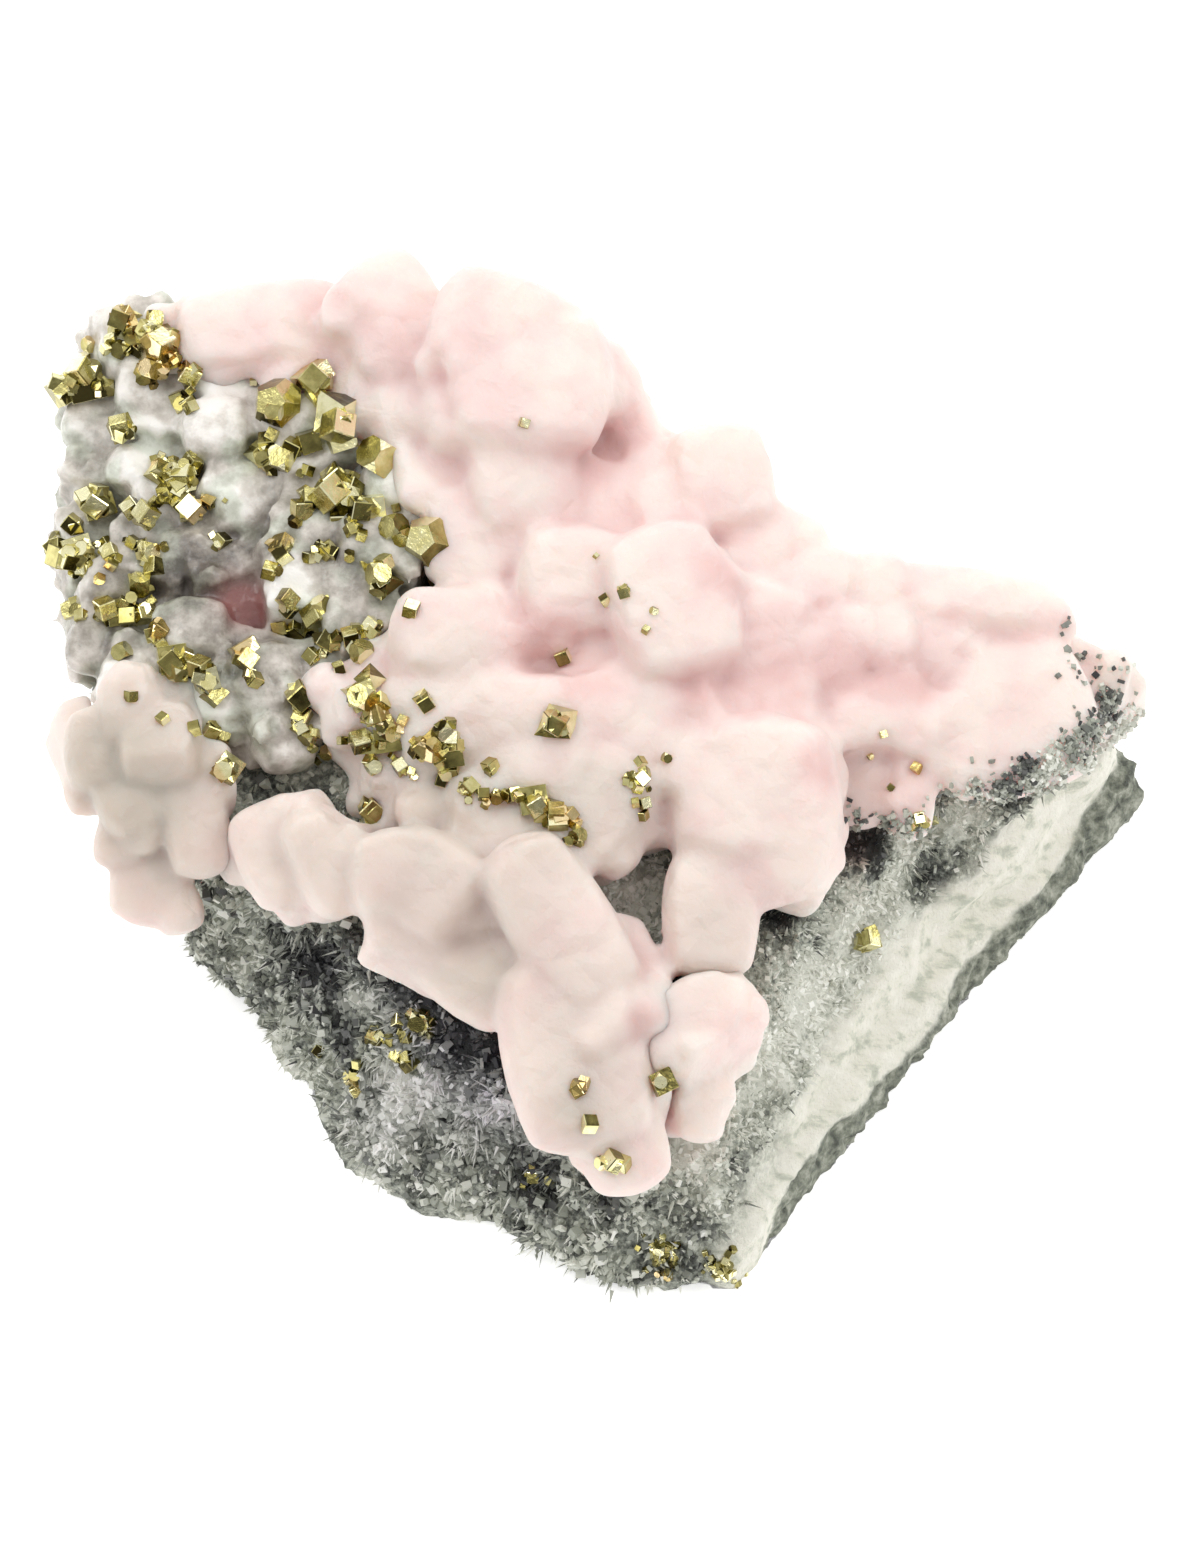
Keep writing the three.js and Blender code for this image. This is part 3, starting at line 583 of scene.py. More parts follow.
# Painted glints: a share of the needles is painted paler, to look silvery.
needle_tone += 0.35 * (rng.random(NEEDLES) < PAINTED_GLINT_SHARE)
needle_frames = frames_at(places, outward, rng.normal(0, 1, (NEEDLES, 3)), sizes)
needles = many_of(needle, "druse_needles", needle_frames, tone=needle_tone)

grain = added(bpy.ops.mesh.primitive_cube_add, "grain", size=0.85)
in_triangles(grain)
places, outward, _ = scattered(rock, GRAINS, druse_chance, rng)
outward = outward + rng.normal(0, GRAIN_LEAN, (GRAINS, 3))
on_left = ramp(-places[:, 0] / MM, -14, 2)[:, None]
sizes = rng.uniform(*GRAIN_SIZE, (GRAINS, 1)) * rng.uniform(0.3, 1.3, (GRAINS, 3))
sizes = sizes * (0.6 + 0.4 * on_left) * MM
grain_tone = druse_shade(places / MM) + rng.normal(0.59, 0.14, GRAINS)
grain_frames = frames_at(places, outward, rng.normal(0, 1, (GRAINS, 3)), sizes)
grains = many_of(grain, "druse_grains", grain_frames, tone=grain_tone)

silk = Finish("druse_silk")
silk_colour = silk.colours(
    silk.attribute("tone"), (0.14, (0.02, 0.02, 0.022)), (0.34, (0.12, 0.125, 0.115)),
    (0.52, (0.36, 0.38, 0.32)), (0.74, (0.72, 0.73, 0.65)), (0.9, (0.90, 0.90, 0.84)),
)
silk.coloured(silk.tinted(silk_colour))
fill(silk.shader, Roughness=0.4, Specular_IOR_Level=0.5)


def kept_over_table(piece):
    """Lifts whatever of piece has sunk into the table, and gives its points."""
    points = points_of(piece)
    points[:, 2] = np.maximum(points[:, 2], TABLE_GAP)
    move_points(piece, points)
    return points


def finish_druse(piece):
    """Keeps a piece of druse over the table, tints it like the rock under it, and hands it over."""
    keep_tints(piece, kept_over_table(piece))
    piece.data.materials.append(silk.material)
    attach(piece, "root")


finish_druse(needles)
finish_druse(grains)


# The calcite is blunt pale pink crystals grown into one another, each with smaller blocks and steps on its
# faces. Its surface is frosted, and its colour holds painted shade: a deeper, darker pink down in its clefts.
CALCITE_VOXEL = 0.4 * MM
FINE_VOXEL = 0.28 * MM
FIRST_WEAR = 9
LAST_WEAR = 5
LOBE_ROUNDING = 0.6
CLOSED_CLEFT = 0.12 * MM
LOBE_SPIN = 8
LOBE_FULLNESS = 1.1
# The least and the most of a strewn lobe's size and of how far it stands out, in mm, and how much it leans.
SMALL_LOBE = (([1.8, 1.6, 2.2], [4.8, 4.2, 3.6]), (0.1, 0.6), 0.35)
HIDDEN_LOBE = (([2.8, 2.6, 2.6], [5.4, 5.0, 4.4]), (0.4, 1.1), 0.3)
HIDDEN_SEED_STEP = 50
CLEFT_ROUNDS = 30

# One blunt crystal, a cube swollen halfway to a ball, stands for every lobe that is grown on the faces.
lobe = added(bpy.ops.mesh.primitive_cube_add, "lobe", size=1)
edited(lobe, bpy.ops.mesh.subdivide, number_cuts=4)
edited(lobe, bpy.ops.transform.tosphere, value=LOBE_ROUNDING)
in_triangles(lobe)


def absorb(piece, *others):
    """Joins others into piece."""
    take(piece)
    for other in others:
        other.select_set(True)
    bpy.ops.object.join()


def neighbour_average(piece):
    """A function that gives, for rows of points, the mean of each vertex's neighbours."""
    first, second = rows(piece.data.edges, "vertices", 2, np.int32).T
    count = len(piece.data.vertices)
    neighbours = np.bincount(first, minlength=count) + np.bincount(second, minlength=count)

    def average(points):
        sums = [
            np.bincount(first, points[second, i], count) + np.bincount(second, points[first, i], count)
            for i in range(3)
        ]
        return np.stack(sums, axis=1) / neighbours[:, None]

    return average


def keep_clefts(piece, rounds):
    """Keeps how far each vertex lies under the smoothed surface round it, in mm, which the calcite and quartz
    use for painted shade in their clefts, and shades piece smooth.
    """
    average = neighbour_average(piece)
    points = points_of(piece).astype(float)
    smooth = points
    for _ in range(rounds):
        smooth = average(smooth)
    keep_values(piece, "cleft", np.einsum("ij,ij->i", smooth - points, normals_of(piece)))
    piece.data.polygons.foreach_set("use_smooth", [True] * len(piece.data.polygons))


def worn(piece, rounds, share=0.5, cleft_share=0.15):
    """Wears the edges and tips of piece round, and its clefts less."""
    average = neighbour_average(piece)
    for _ in range(rounds):
        points = points_of(piece).astype(float)
        pull = average(points) - points
        inward = np.einsum("ij,ij->i", pull, normals_of(piece)) < 0
        move_points(piece, points + pull * np.where(inward, share, cleft_share)[:, None])


def level_seen(surface, pixel_x, pixel_y, reach=24):
    """The point in line with this pixel, at the middle depth of what is seen there and a little round it."""
    shifts = ((0, 0), (reach, 0), (-reach, 0), (0, reach), (0, -reach))
    seen = [seen_at(surface, pixel_x + right, pixel_y + down)[0] for right, down in shifts]
    depths = sorted(point.dot(towards_viewer) for point in seen if point)
    start = in_line(pixel_x, pixel_y)
    return start + towards_viewer * (depths[len(depths) // 2] - start.dot(towards_viewer))


def lobe_frames(piece, lobes, rng):
    """Frames of lobes seen on piece, from the eight values that each has in its list, none quite square."""
    surface = surface_of(piece)
    frames = []
    for pixel_x, pixel_y, width, depth, height, turn, lean, proud in lobes:
        middle = level_seen(surface, pixel_x, pixel_y) + towards_viewer * (proud - height / 2)
        turn, lean, roll = np.radians((turn, lean, 0) + rng.normal(0, LOBE_SPIN, 3))
        tilt = Matrix.Rotation(turn, 4, "Z") @ Matrix.Rotation(lean, 4, "X") @ Matrix.Rotation(roll, 4, "Y")
        size = Matrix.Diagonal((width * LOBE_FULLNESS, depth * LOBE_FULLNESS, height, 1 / MM)) * MM
        frames.append(np.array(Matrix.Translation(middle * MM) @ tilt @ size))
    return np.array(frames)


def hidden_side(middles, normals, corners):
    """The faces of a growth's back and sides, which the photograph does not show, but not its right tip."""
    x, y, z = middles.T
    away = normals @ np.array(towards_viewer) < 0.2
    return away * (normals[:, 2] > -0.6) * (z > 6) * (z < 33) * (x < 38) * (y > -8)


def upper_side(middles, normals, corners):
    """The faces of a growth that look up or level, off the foot."""
    return ramp(normals[:, 2], -0.1, 0.5) * (middles[:, 2] > 4)


def strewn_lobes(piece, count, chances, form, rng):
    """Frames of lobes of this form, strewn over piece's faces."""
    size, proud, lean = form
    places, outward, _ = scattered(piece, count, chances, rng)
    sizes = rng.uniform(*size, (count, 3)) * MM
    places = places + outward * (rng.uniform(*proud, (count, 1)) * MM - sizes[:, 2:3] / 2)
    outward = outward + rng.normal(0, lean, outward.shape)
    return frames_at(places, outward, rng.normal(0, 1, (count, 3)), sizes)


def grown_calcite(node, name, small_lobes, seed, lobes, voxel=CALCITE_VOXEL, hidden_lobes=0):
    """A calcite growth from its node: worn round, with lobes on its faces, fused, and its clefts known."""
    rng = np.random.default_rng(seed)
    piece = copy_of(node, name)
    shaped(piece, "REMESH", mode="VOXEL", voxel_size=voxel)
    worn(piece, FIRST_WEAR, cleft_share=0.5)
    small = strewn_lobes(piece, small_lobes, upper_side, SMALL_LOBE, rng)
    grown = [small, lobe_frames(piece, lobes, rng)]
    if hidden_lobes:
        rng = np.random.default_rng(seed + HIDDEN_SEED_STEP)
        grown.append(strewn_lobes(piece, hidden_lobes, hidden_side, HIDDEN_LOBE, rng))
    absorb(piece, many_of(lobe, "lobes", np.concatenate(grown)))
    # Swelling it, fusing it and drawing it back in closes its narrow clefts.
    shaped(piece, "REMESH", mode="VOXEL", voxel_size=voxel)
    shaped(piece, "DISPLACE", strength=CLOSED_CLEFT, mid_level=0)
    shaped(piece, "REMESH", mode="VOXEL", voxel_size=voxel)
    shaped(piece, "DISPLACE", strength=-CLOSED_CLEFT, mid_level=0)
    shaped(piece, "SMOOTH", factor=0.5, iterations=2)
    worn(piece, LAST_WEAR, cleft_share=0.2)
    lumpy(piece, name + "_swell", 3.4 * MM, 0.3 * MM, 0.5)
    kept_over_table(piece)
    keep_clefts(piece, CLEFT_ROUNDS)
    return piece


# The crystals and lobes seen on the growth, as pixel x, pixel y, width, depth and height in mm, turn and lean
# in degrees, and how far it stands out in mm.
MAIN_LOBES = [
    (530, 384, 10.8, 10, 6, -4, 12, 0.5), (262, 328, 11.6, 6, 5, 0, 5, 0.4),
    (388, 300, 6.4, 6.4, 5, 40, 8, 0.5), (508, 334, 10.4, 7.6, 5.6, -26, 4, 0),
    (425, 388, 13, 8.6, 5, -10, 10, 0.6), (952, 603, 15, 4.6, 4.4, -14, 5, 0.6),
    (1010, 722, 11.4, 10.4, 6, 6, 15, 0.9), (755, 812, 11.4, 12.6, 6, 3, 18, 0.6),
    (525, 483, 7.2, 7, 5, 10, 15, 0.8), (590, 505, 4.8, 6.5, 5, -10, 10, 0.5),
    (617, 393, 3.6, 3.8, 4, 0, 0, 0.5), (632, 430, 3.8, 4, 4, 12, 0, 0.5),
    (650, 470, 4, 3.8, 4, 0, 0, 0.5), (665, 512, 4.6, 5.4, 4, 15, 10, 0.5),
    (720, 480, 7, 7.6, 5, 6, 10, 0.5), (756, 543, 6.6, 5.8, 5, -25, 10, 0.6),
    (672, 605, 8.4, 11, 7, 12, 18, 1), (572, 580, 7.2, 7.4, 5, 0, 15, 0.7),
    (822, 580, 4.6, 4.4, 4, 0, 0, 0.5), (765, 612, 6.6, 4.4, 4, -10, 10, 0.6),
    (790, 668, 10, 5.4, 4, -5, 10, 0.5), (880, 640, 5, 4.6, 4, 0, 10, 0.5),
    (880, 708, 7, 4.8, 4, 8, 10, 0.7), (455, 640, 8.8, 6.6, 6, 0, 10, 0.8),
    (640, 702, 6.4, 5.4, 5, 0, 10, 0.7), (545, 760, 7.6, 6.4, 5, -20, 15, 0.8),
    (585, 800, 9, 8.6, 5, -25, 20, 0.8), (735, 800, 8, 9.4, 6, 0, 15, 0.6),
    (700, 765, 6, 6, 5, 10, 10, 0.6), (792, 835, 5, 8, 5, 0, 15, 0.6),
    (710, 915, 6.2, 8.6, 6, 5, 20, 0.8), (396, 874, 6.2, 6, 5, 20, 18, 1.2),
    (430, 885, 7.4, 7, 5, -40, 18, 1.5), (464, 904, 5.2, 5.2, 5, 10, 18, 1.1),
    (268, 858, 4, 7.4, 4.4, 27, 18, 1), (322, 864, 3.8, 7.6, 4.4, 27, 18, 1.3),
    (350, 850, 2.8, 3.6, 3, 20, 15, 0.7), (466, 975, 9, 5, 4.4, -35, 25, 0.2),
    (560, 922, 6.8, 12.8, 6, 36, 22, 1.3), (575, 1052, 9.6, 13.6, 6, 17, 25, 1),
    (618, 1130, 6, 8.6, 5, 8, 25, 0.8), (540, 520, 6, 6, 6, 10, 8, 0.7), (532, 632, 6, 5, 5, -8, 0, 0.5),
    (628, 742, 6.4, 6, 6, 20, 10, 1), (760, 714, 8, 6, 5.4, -6, 10, 0.9),
    (490, 862, 6, 6, 5, 14, 10, 0.8), (840, 640, 5.4, 4.4, 4.4, -12, 10, 0.6),
    (720, 640, 5, 4.4, 4.6, 30, 10, 0.5), (430, 430, 8, 8, 5, 5, 10, 0.6),
    (395, 395, 7, 7, 5, -8, 10, 0.5), (470, 400, 7, 8, 5, 12, 10, 0.5), (400, 345, 6, 5, 5, 0, 10, 0.6),
    (588, 385, 6, 6, 5, 0, 10, 0.4), (470, 540, 6, 7, 5, 0, 10, 0.6), (435, 700, 7, 5, 5, -10, 10, 0.5),
    (520, 712, 8, 5, 5, 0, 10, 0.5), (590, 715, 5.4, 5, 5, 10, 10, 0.5), (645, 812, 4, 5, 4, 0, 10, 0.2),
    (950, 735, 5, 6, 5, -10, 15, 0.8), (850, 790, 5, 5, 4, 0, 15, 0.2),
    (922, 655, 5.4, 4.8, 4.4, 0, 10, 0.6),
]
KNOB_LOBES = [
    (700, 1015, 5.6, 5.4, 5, 10, 15, 0.5), (672, 1040, 3.8, 5, 4, 0, 20, 0.5),
    (726, 1010, 3.6, 4.6, 4, -15, 15, 0.5), (700, 1104, 3.4, 5, 4, 5, 30, 0.2),
]
LEFT_LOBES = [
    (104, 750, 5.2, 5.8, 5, 10, 10, 1), (160, 744, 5.4, 5.6, 4.6, -5, 10, 1.6),
    (205, 772, 3.6, 4.4, 3.6, 0, 15, 0.5), (134, 805, 4.8, 4.6, 4.4, 15, 12, 1.2),
    (196, 824, 4.4, 7.4, 4.6, 5, 15, 1.4), (152, 878, 5.4, 6.4, 4.6, -8, 22, 1.2),
    (88, 790, 3.2, 3.2, 3, 30, 10, 0.7), (124, 716, 3.2, 3, 3, 0, 10, 0.8),
    (178, 908, 3.4, 3.4, 3.4, 20, 20, 0.8), (120, 842, 3.4, 3.6, 3.2, -20, 15, 0.8),
]
calcite_main = grown_calcite("calcite_main_mass", "main_calcite", 230, 11, MAIN_LOBES, hidden_lobes=110)
calcite_knob = grown_calcite("calcite_front_knob", "front_knob_calcite", 3, 12, KNOB_LOBES, FINE_VOXEL)
calcite_left = grown_calcite("calcite_left_cluster", "left_cluster_calcite", 5, 13, LEFT_LOBES, FINE_VOXEL)

# Where the pink is deeper, or paler if below 0, and where the calcite is greyer and darker, as pixel x, pixel
# y, radius in mm and strength. These hold painted light over the calcite's own colour: deeper pink in gaps
# and pockets is painted shade, the paler spots are painted highlights, and the grey patches are painted shade
# on greyer calcite, most of all on the lower left.
PINK_SHADE_HIGHLIGHT_PATCHES = [
    (400, 335, 4, 0.22), (440, 345, 4, 0.18), (335, 320, 4, 0.12), (265, 330, 6, 0.1),
    (450, 420, 5, 0.15), (590, 455, 3, 0.4), (628, 442, 2.6, 0.45), (590, 520, 3.6, 0.2),
    (640, 500, 4, 0.15), (725, 575, 2.6, 0.4), (745, 525, 4, 0.2), (560, 668, 3.4, 0.6),
    (600, 682, 2.6, 0.4), (520, 652, 2.6, 0.4), (548, 622, 2.6, 0.25), (695, 688, 2, 0.6),
    (740, 700, 3, 0.3), (790, 660, 5, 0.28), (835, 680, 4, 0.28), (885, 672, 2.6, 0.4),
    (928, 688, 2.2, 0.5), (940, 622, 4, 0.05), (850, 785, 3.2, 0.5), (895, 800, 2.6, 0.4),
    (822, 775, 2.2, 0.5), (655, 862, 2.6, 0.4), (645, 955, 2.6, 0.45), (478, 915, 2.6, 0.35),
    (505, 1000, 2.6, 0.45), (640, 1022, 1.8, 0.5), (668, 1118, 1.6, 0.5), (700, 1108, 2.4, -0.45),
    (690, 1046, 2.4, -0.35), (268, 858, 3, -0.3), (322, 864, 3, -0.3), (515, 915, 1.8, -0.3),
    (1136, 692, 2.6, -0.45),
]
GREY_AND_SHADE_PATCHES = [
    (745, 800, 7, 0.14), (710, 920, 6, 0.14), (1010, 720, 7, 0.18), (850, 785, 4, 0.2),
    (130, 750, 8, 0.68), (150, 850, 8, 0.6), (80, 760, 5, 0.5), (400, 880, 8, 0.4), (480, 960, 7, 0.45),
    (290, 850, 5, 0.34), (590, 1110, 7, 0.42), (580, 1010, 7, 0.24), (710, 930, 5, 0.3),
    (600, 790, 6, 0.34), (430, 800, 6, 0.5), (540, 840, 6, 0.38), (860, 800, 4, 0.25), (640, 800, 4, 0.3),
    (455, 660, 7, 0.16), (1125, 675, 4, 0.3), (575, 1120, 2.6, 0.3), (480, 985, 3, 0.25),
]
calcite_surface = surface_of(calcite_main, calcite_knob, calcite_left)

calcite = Finish("pink_calcite")
# Painted shade: the deeper a point lies in a cleft, the deeper and darker its pink.
cleft_shade = calcite.span(calcite.attribute("cleft"), -0.05, 1.2, 0, 0.5)
cloudy = calcite.span(calcite.grain(6.0, 2), 0.4, 0.66, 0, 0.3)
blush_shade_highlight = calcite.sum(calcite.sum(cleft_shade, cloudy), calcite.attribute("pink_shade_highlight"))
calcite_colour = calcite.colours(
    blush_shade_highlight, (0.0, (0.91, 0.79, 0.735)), (0.35, (0.885, 0.70, 0.67)), (0.8, (0.78, 0.53, 0.51)),
    (1.0, (0.66, 0.42, 0.40)),
)
# Painted shade: the grey patches darken the calcite towards grey brown.
calcite_colour = calcite.blended(calcite.attribute("grey_and_shade"), calcite_colour, (0.58, 0.52, 0.45))
calcite.coloured(calcite_colour)
fill(
    calcite.shader, Roughness=0.5, Specular_IOR_Level=0.35, Subsurface_Weight=0.75,
    Subsurface_Radius=(1.0, 0.68, 0.6), Subsurface_Scale=3.2 * MM,
)
calcite.bumped(calcite.facets(3.6, (0.5, 0.3, 0.7)), 0.55)
calcite.bumped(calcite.facets(1.7, (0.2, 0.6, 0.3)), 0.18)
calcite.bumped(calcite.grain(0.5, 3, 0.6), 0.08)

for piece, node in (
    (calcite_main, "calcite_main_mass"),
    (calcite_knob, "calcite_front_knob"),
    (calcite_left, "calcite_left_cluster"),
):
    keep_values(piece, "pink_shade_highlight", patched(calcite_surface, points_of(piece), PINK_SHADE_HIGHLIGHT_PATCHES))
    keep_values(piece, "grey_and_shade", patched(calcite_surface, points_of(piece), GREY_AND_SHADE_PATCHES).clip(0, 1))
    piece.data.materials.append(calcite.material)
    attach(piece, "root")
    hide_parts(node)

# Druse creeps over the calcite's right end and its lower right edge, as pixel x, pixel y, spread in mm, how
# many grains and how pale they are.
SPECKS = [
    (1072, 645, 2.4, 8, 0.42), (1096, 665, 1.6, 16, 0.42), (1107, 700, 0.8, 50, 0.44),
    (1104, 716, 0.9, 80, 0.38), (1090, 731, 0.9, 70, 0.44), (1074, 746, 1, 90, 0.5),
    (1054, 764, 1, 80, 0.68), (1037, 784, 1, 80, 0.64), (1024, 768, 0.8, 60, 0.36),
    (1008, 788, 1, 90, 0.4), (975, 793, 0.9, 60, 0.62), (945, 800, 1, 36, 0.6), (915, 826, 1.1, 80, 0.58),
    (885, 826, 0.9, 50, 0.5), (856, 820, 0.8, 24, 0.36), (1122, 730, 1, 70, 0.72),
    (1136, 708, 0.8, 16, 0.74), (1124, 668, 1.6, 12, 0.55), (985, 770, 1.6, 8, 0.5),
    (1000, 798, 0.7, 50, 0.6), (1032, 799, 0.7, 50, 0.64), (1062, 787, 0.7, 50, 0.68),
    (1088, 766, 0.7, 50, 0.72), (1110, 746, 0.7, 50, 0.72),
]
STREWN = 0.6
SPECK_SIZE = (0.25, 0.58)
SPECK_FORM = ((0.4, 0.4, 0.8), (1.2, 1.2, 2.0))

rng = np.random.default_rng(51)
places = []
outward = []
paleness = []
for pixel_x, pixel_y, spread, count, tone in SPECKS:
    for shift in rng.normal(0, spread * STREWN, (count, 2)) * PIXELS_PER_MM:
        point, normal = seen_at(calcite_surface, pixel_x + shift[0], pixel_y + shift[1])
        if point:
            places.append(point * MM)
            outward.append(normal)
            paleness.append(tone)
count = len(places)
places = np.array(places)
outward = np.array(outward) + rng.normal(0, 0.7, (count, 3))
sizes = rng.uniform(*SPECK_SIZE, (count, 1)) * rng.uniform(*SPECK_FORM, (count, 3)) * MM
speck_tone = np.array(paleness) + rng.normal(0, 0.12, count)
speck_frames = frames_at(places, outward, rng.normal(0, 1, (count, 3)), sizes)
specks = many_of(grain, "druse_specks", speck_frames, tone=speck_tone)
finish_druse(specks)


# The quartz at the left end is a crust of stubby milky points, grey where it is clear and white where it is
# chalky. It grew on the rock before the pyrite did, and the pyrite sits in its hollows.
QUARTZ_VOXEL = 0.34 * MM
QUARTZ_POINTS = 360
QUARTZ_SINK = 0.35
QUARTZ_WEAR = 3
QUARTZ_CLEFT_ROUNDS = 24

# The larger grey knobs seen among the points, as pixel x, pixel y, width, depth and height in mm, and how far
# each stands out in mm. They all lean alike.
KNOB_LEAN = 10
QUARTZ_KNOBS = [
    (196, 630, 4.6, 4.2, 4, 0.9), (150, 622, 3.4, 3.4, 3, 0.5), (116, 440, 3.6, 3.4, 3, 0.8),
    (82, 425, 3, 3, 3, 0.6), (366, 536, 3.6, 3.2, 3.4, 0.7), (354, 578, 4.4, 4.2, 4, 0.9),
    (297, 420, 3.2, 3.4, 3.2, 0.8), (138, 388, 3.2, 3.8, 3.2, 0.7), (316, 530, 3.4, 3, 3, 0.6),
    (92, 648, 3.6, 3.6, 3.2, 0.8), (325, 664, 4.4, 3.8, 3.4, 0.7), (110, 580, 3.4, 3, 3, 0.6),
    (188, 556, 4.4, 3.6, 3.2, 0.6), (264, 668, 3.8, 3.4, 3.2, 0.7), (225, 700, 4.6, 3.8, 3.4, 0.5),
    (285, 745, 4, 3.8, 3.4, 0.4), (240, 600, 5, 5, 4, -0.4), (300, 575, 4.4, 4, 4, 0.7),
    (215, 430, 4.6, 4.4, 3.6, 0.4), (245, 500, 4.6, 5.2, 3.6, 0.6), (130, 470, 3.4, 3, 3, 0.5),
    (95, 500, 3, 3.4, 3, 0.4), (160, 520, 3.4, 3.2, 3, 0.5), (130, 690, 4.4, 3.6, 3.4, 0.6),
    (345, 620, 3, 3, 3, 0.5), (400, 480, 5, 4.4, 4, 0.5), (390, 550, 3.6, 3.4, 3.4, 0.5),
]

# One quartz point, six-sided, with its tip drawn in.
quartz_point = added(
    bpy.ops.mesh.primitive_cylinder_add, "quartz_point", vertices=6, radius=0.5, depth=1,
    end_fill_type="NGON",
)
for face in quartz_point.data.polygons:
    face.select = face.normal.z > 0.5
bpy.ops.object.mode_set(mode="EDIT")
bpy.ops.mesh.select_mode(type="FACE")
bpy.ops.mesh.extrude_region_move(TRANSFORM_OT_translate={"value": (0, 0, 0.5)})
bpy.ops.transform.resize(value=(0.15, 0.15, 1))
bpy.ops.object.mode_set(mode="OBJECT")
in_triangles(quartz_point)


def not_under(middles, normals, corners):
    """The faces that look up or level."""
    return normals[:, 2] > -0.1


rng = np.random.default_rng(21)
quartz = copy_of("quartz_crust", "quartz_points")
places, outward, along = scattered(quartz, QUARTZ_POINTS, not_under, rng)
outward = outward + rng.normal(0, 0.32, outward.shape)
girth = rng.uniform(0.9, 2.2, (QUARTZ_POINTS, 1))
sizes = np.hstack([girth, girth, rng.uniform(0.9, 1.8, (QUARTZ_POINTS, 1))]) * MM
frames_of_points = frames_at(places, outward, along, sizes)
frames_of_points[:, :3, 3] -= frames_of_points[:, :3, 2] * QUARTZ_SINK
knobs = lobe_frames(quartz, [(*knob[:5], 0, KNOB_LEAN, knob[5]) for knob in QUARTZ_KNOBS], rng)
absorb(quartz, many_of(quartz_point, "points", frames_of_points))
absorb(quartz, many_of(lobe, "knobs", knobs))
shaped(quartz, "REMESH", mode="VOXEL", voxel_size=QUARTZ_VOXEL)
shaped(quartz, "SMOOTH", factor=0.5, iterations=2)
worn(quartz, QUARTZ_WEAR)
lumpy(quartz, "quartz_grain", 0.9 * MM, 0.2 * MM, 0.5)
keep_clefts(quartz, QUARTZ_CLEFT_ROUNDS)

# White chalky patches and grey clear ones, as pixel x, pixel y, radius in mm and how much paler the patch is.
QUARTZ_PATCHES = [
    (255, 540, 3, -0.16), (105, 415, 3.4, 0.12), (225, 650, 3.4, -0.14), (215, 382, 3.6, 0.5),
    (150, 452, 2.4, 0.4), (238, 490, 2.8, 0.26), (288, 590, 2.6, 0.5), (118, 330, 3, 0.2),
    (130, 690, 3, 0.4), (210, 715, 2.4, 0.3), (190, 580, 3.8, -0.34), (95, 470, 2.6, -0.08),
    (330, 560, 2.6, -0.2), (270, 640, 3, -0.14), (180, 640, 3, 0.02), (110, 620, 3, -0.1),
    (350, 640, 2.4, -0.2), (80, 640, 3, -0.1), (392, 455, 2.6, 0.3), (400, 492, 2.4, 0.3),
    (128, 480, 2, 0.2),
]
# The hollow in the middle of the quartz is dark pink, in the same four values.
PINK_HOLLOW = [(240, 603, 2.2, 1.1), (252, 612, 1.8, 0.7)]
quartz_places = points_of(quartz)
quartz_surface = surface_of(quartz)
quartz_shade = 0.10 * unevenness(quartz_places, 2.2, 3.3)
quartz_shade += patched(quartz_surface, quartz_places, QUARTZ_PATCHES)
keep_values(quartz, "shade", quartz_shade)
keep_values(quartz, "hollow", patched(quartz_surface, quartz_places, PINK_HOLLOW).clip(0, 1))

milk = Finish("milky_quartz")
cloudiness_and_shade = milk.span(milk.grain(1.6, 4, 0.6), 0.3, 0.7, 0.42, 0.6)
# Painted shade: the quartz is painted darker the deeper a point lies in a cleft.
cloudiness_and_shade = milk.sum(cloudiness_and_shade, milk.times(milk.attribute("cleft"), -0.2))
cloudiness_and_shade = milk.sum(cloudiness_and_shade, milk.times(milk.attribute("shade"), 0.8))
milk_colour = milk.colours(
    cloudiness_and_shade, (0.26, (0.15, 0.13, 0.115)), (0.42, (0.38, 0.35, 0.31)), (0.56, (0.62, 0.58, 0.53)),
    (0.74, (0.93, 0.90, 0.86)),
)
cool = milk.span(milk.grain(4.0, 1), 0.46, 0.6)
milk_colour = milk.blended(cool, milk_colour, (0.80, 0.86, 0.80), "MULTIPLY")
milk_colour = milk.blended(milk.attribute("hollow"), milk_colour, (0.30, 0.13, 0.12))
milk.coloured(milk_colour)
fill(
    milk.shader, Roughness=0.22, Specular_IOR_Level=0.55, Subsurface_Weight=0.45,
    Subsurface_Radius=(1.0, 0.92, 0.88), Subsurface_Scale=1.2 * MM,
)
milk.bumped(milk.grain(0.4, 3, 0.6), 0.08)
quartz.data.materials.append(milk.material)
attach(quartz, "root")
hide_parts("quartz_crust")


# The pyrite is brassy cubes, octahedra and twelve-sided crystals with sharp edges. Each face has a painted
# reflection: a dark or bright tone of its own in its colour. Each cluster is its own piece, grown into the
# quartz, calcite or rock that carries it.
PYRITE_EDGE = 0.05 * MM
BEVEL_ANGLE = math.radians(25)
PAINTED_REFLECTION_STEP = 1.7


def painted_face_reflections(piece, shifts):
    """Keeps a painted reflection, a dark or bright tone, for each flat crystal face: faces that look the same
    way in one crystal share it.
    """
    directions = rows(piece.data.polygons, "normal")
    tones = [noise.noise(Vector(row)) for row in directions * PAINTED_REFLECTION_STEP + shifts]
    attribute = piece.data.attributes.new("tone", "FLOAT", "FACE")
    attribute.data.foreach_set("value", np.array(tones, np.float32) * 0.8 + 0.56)


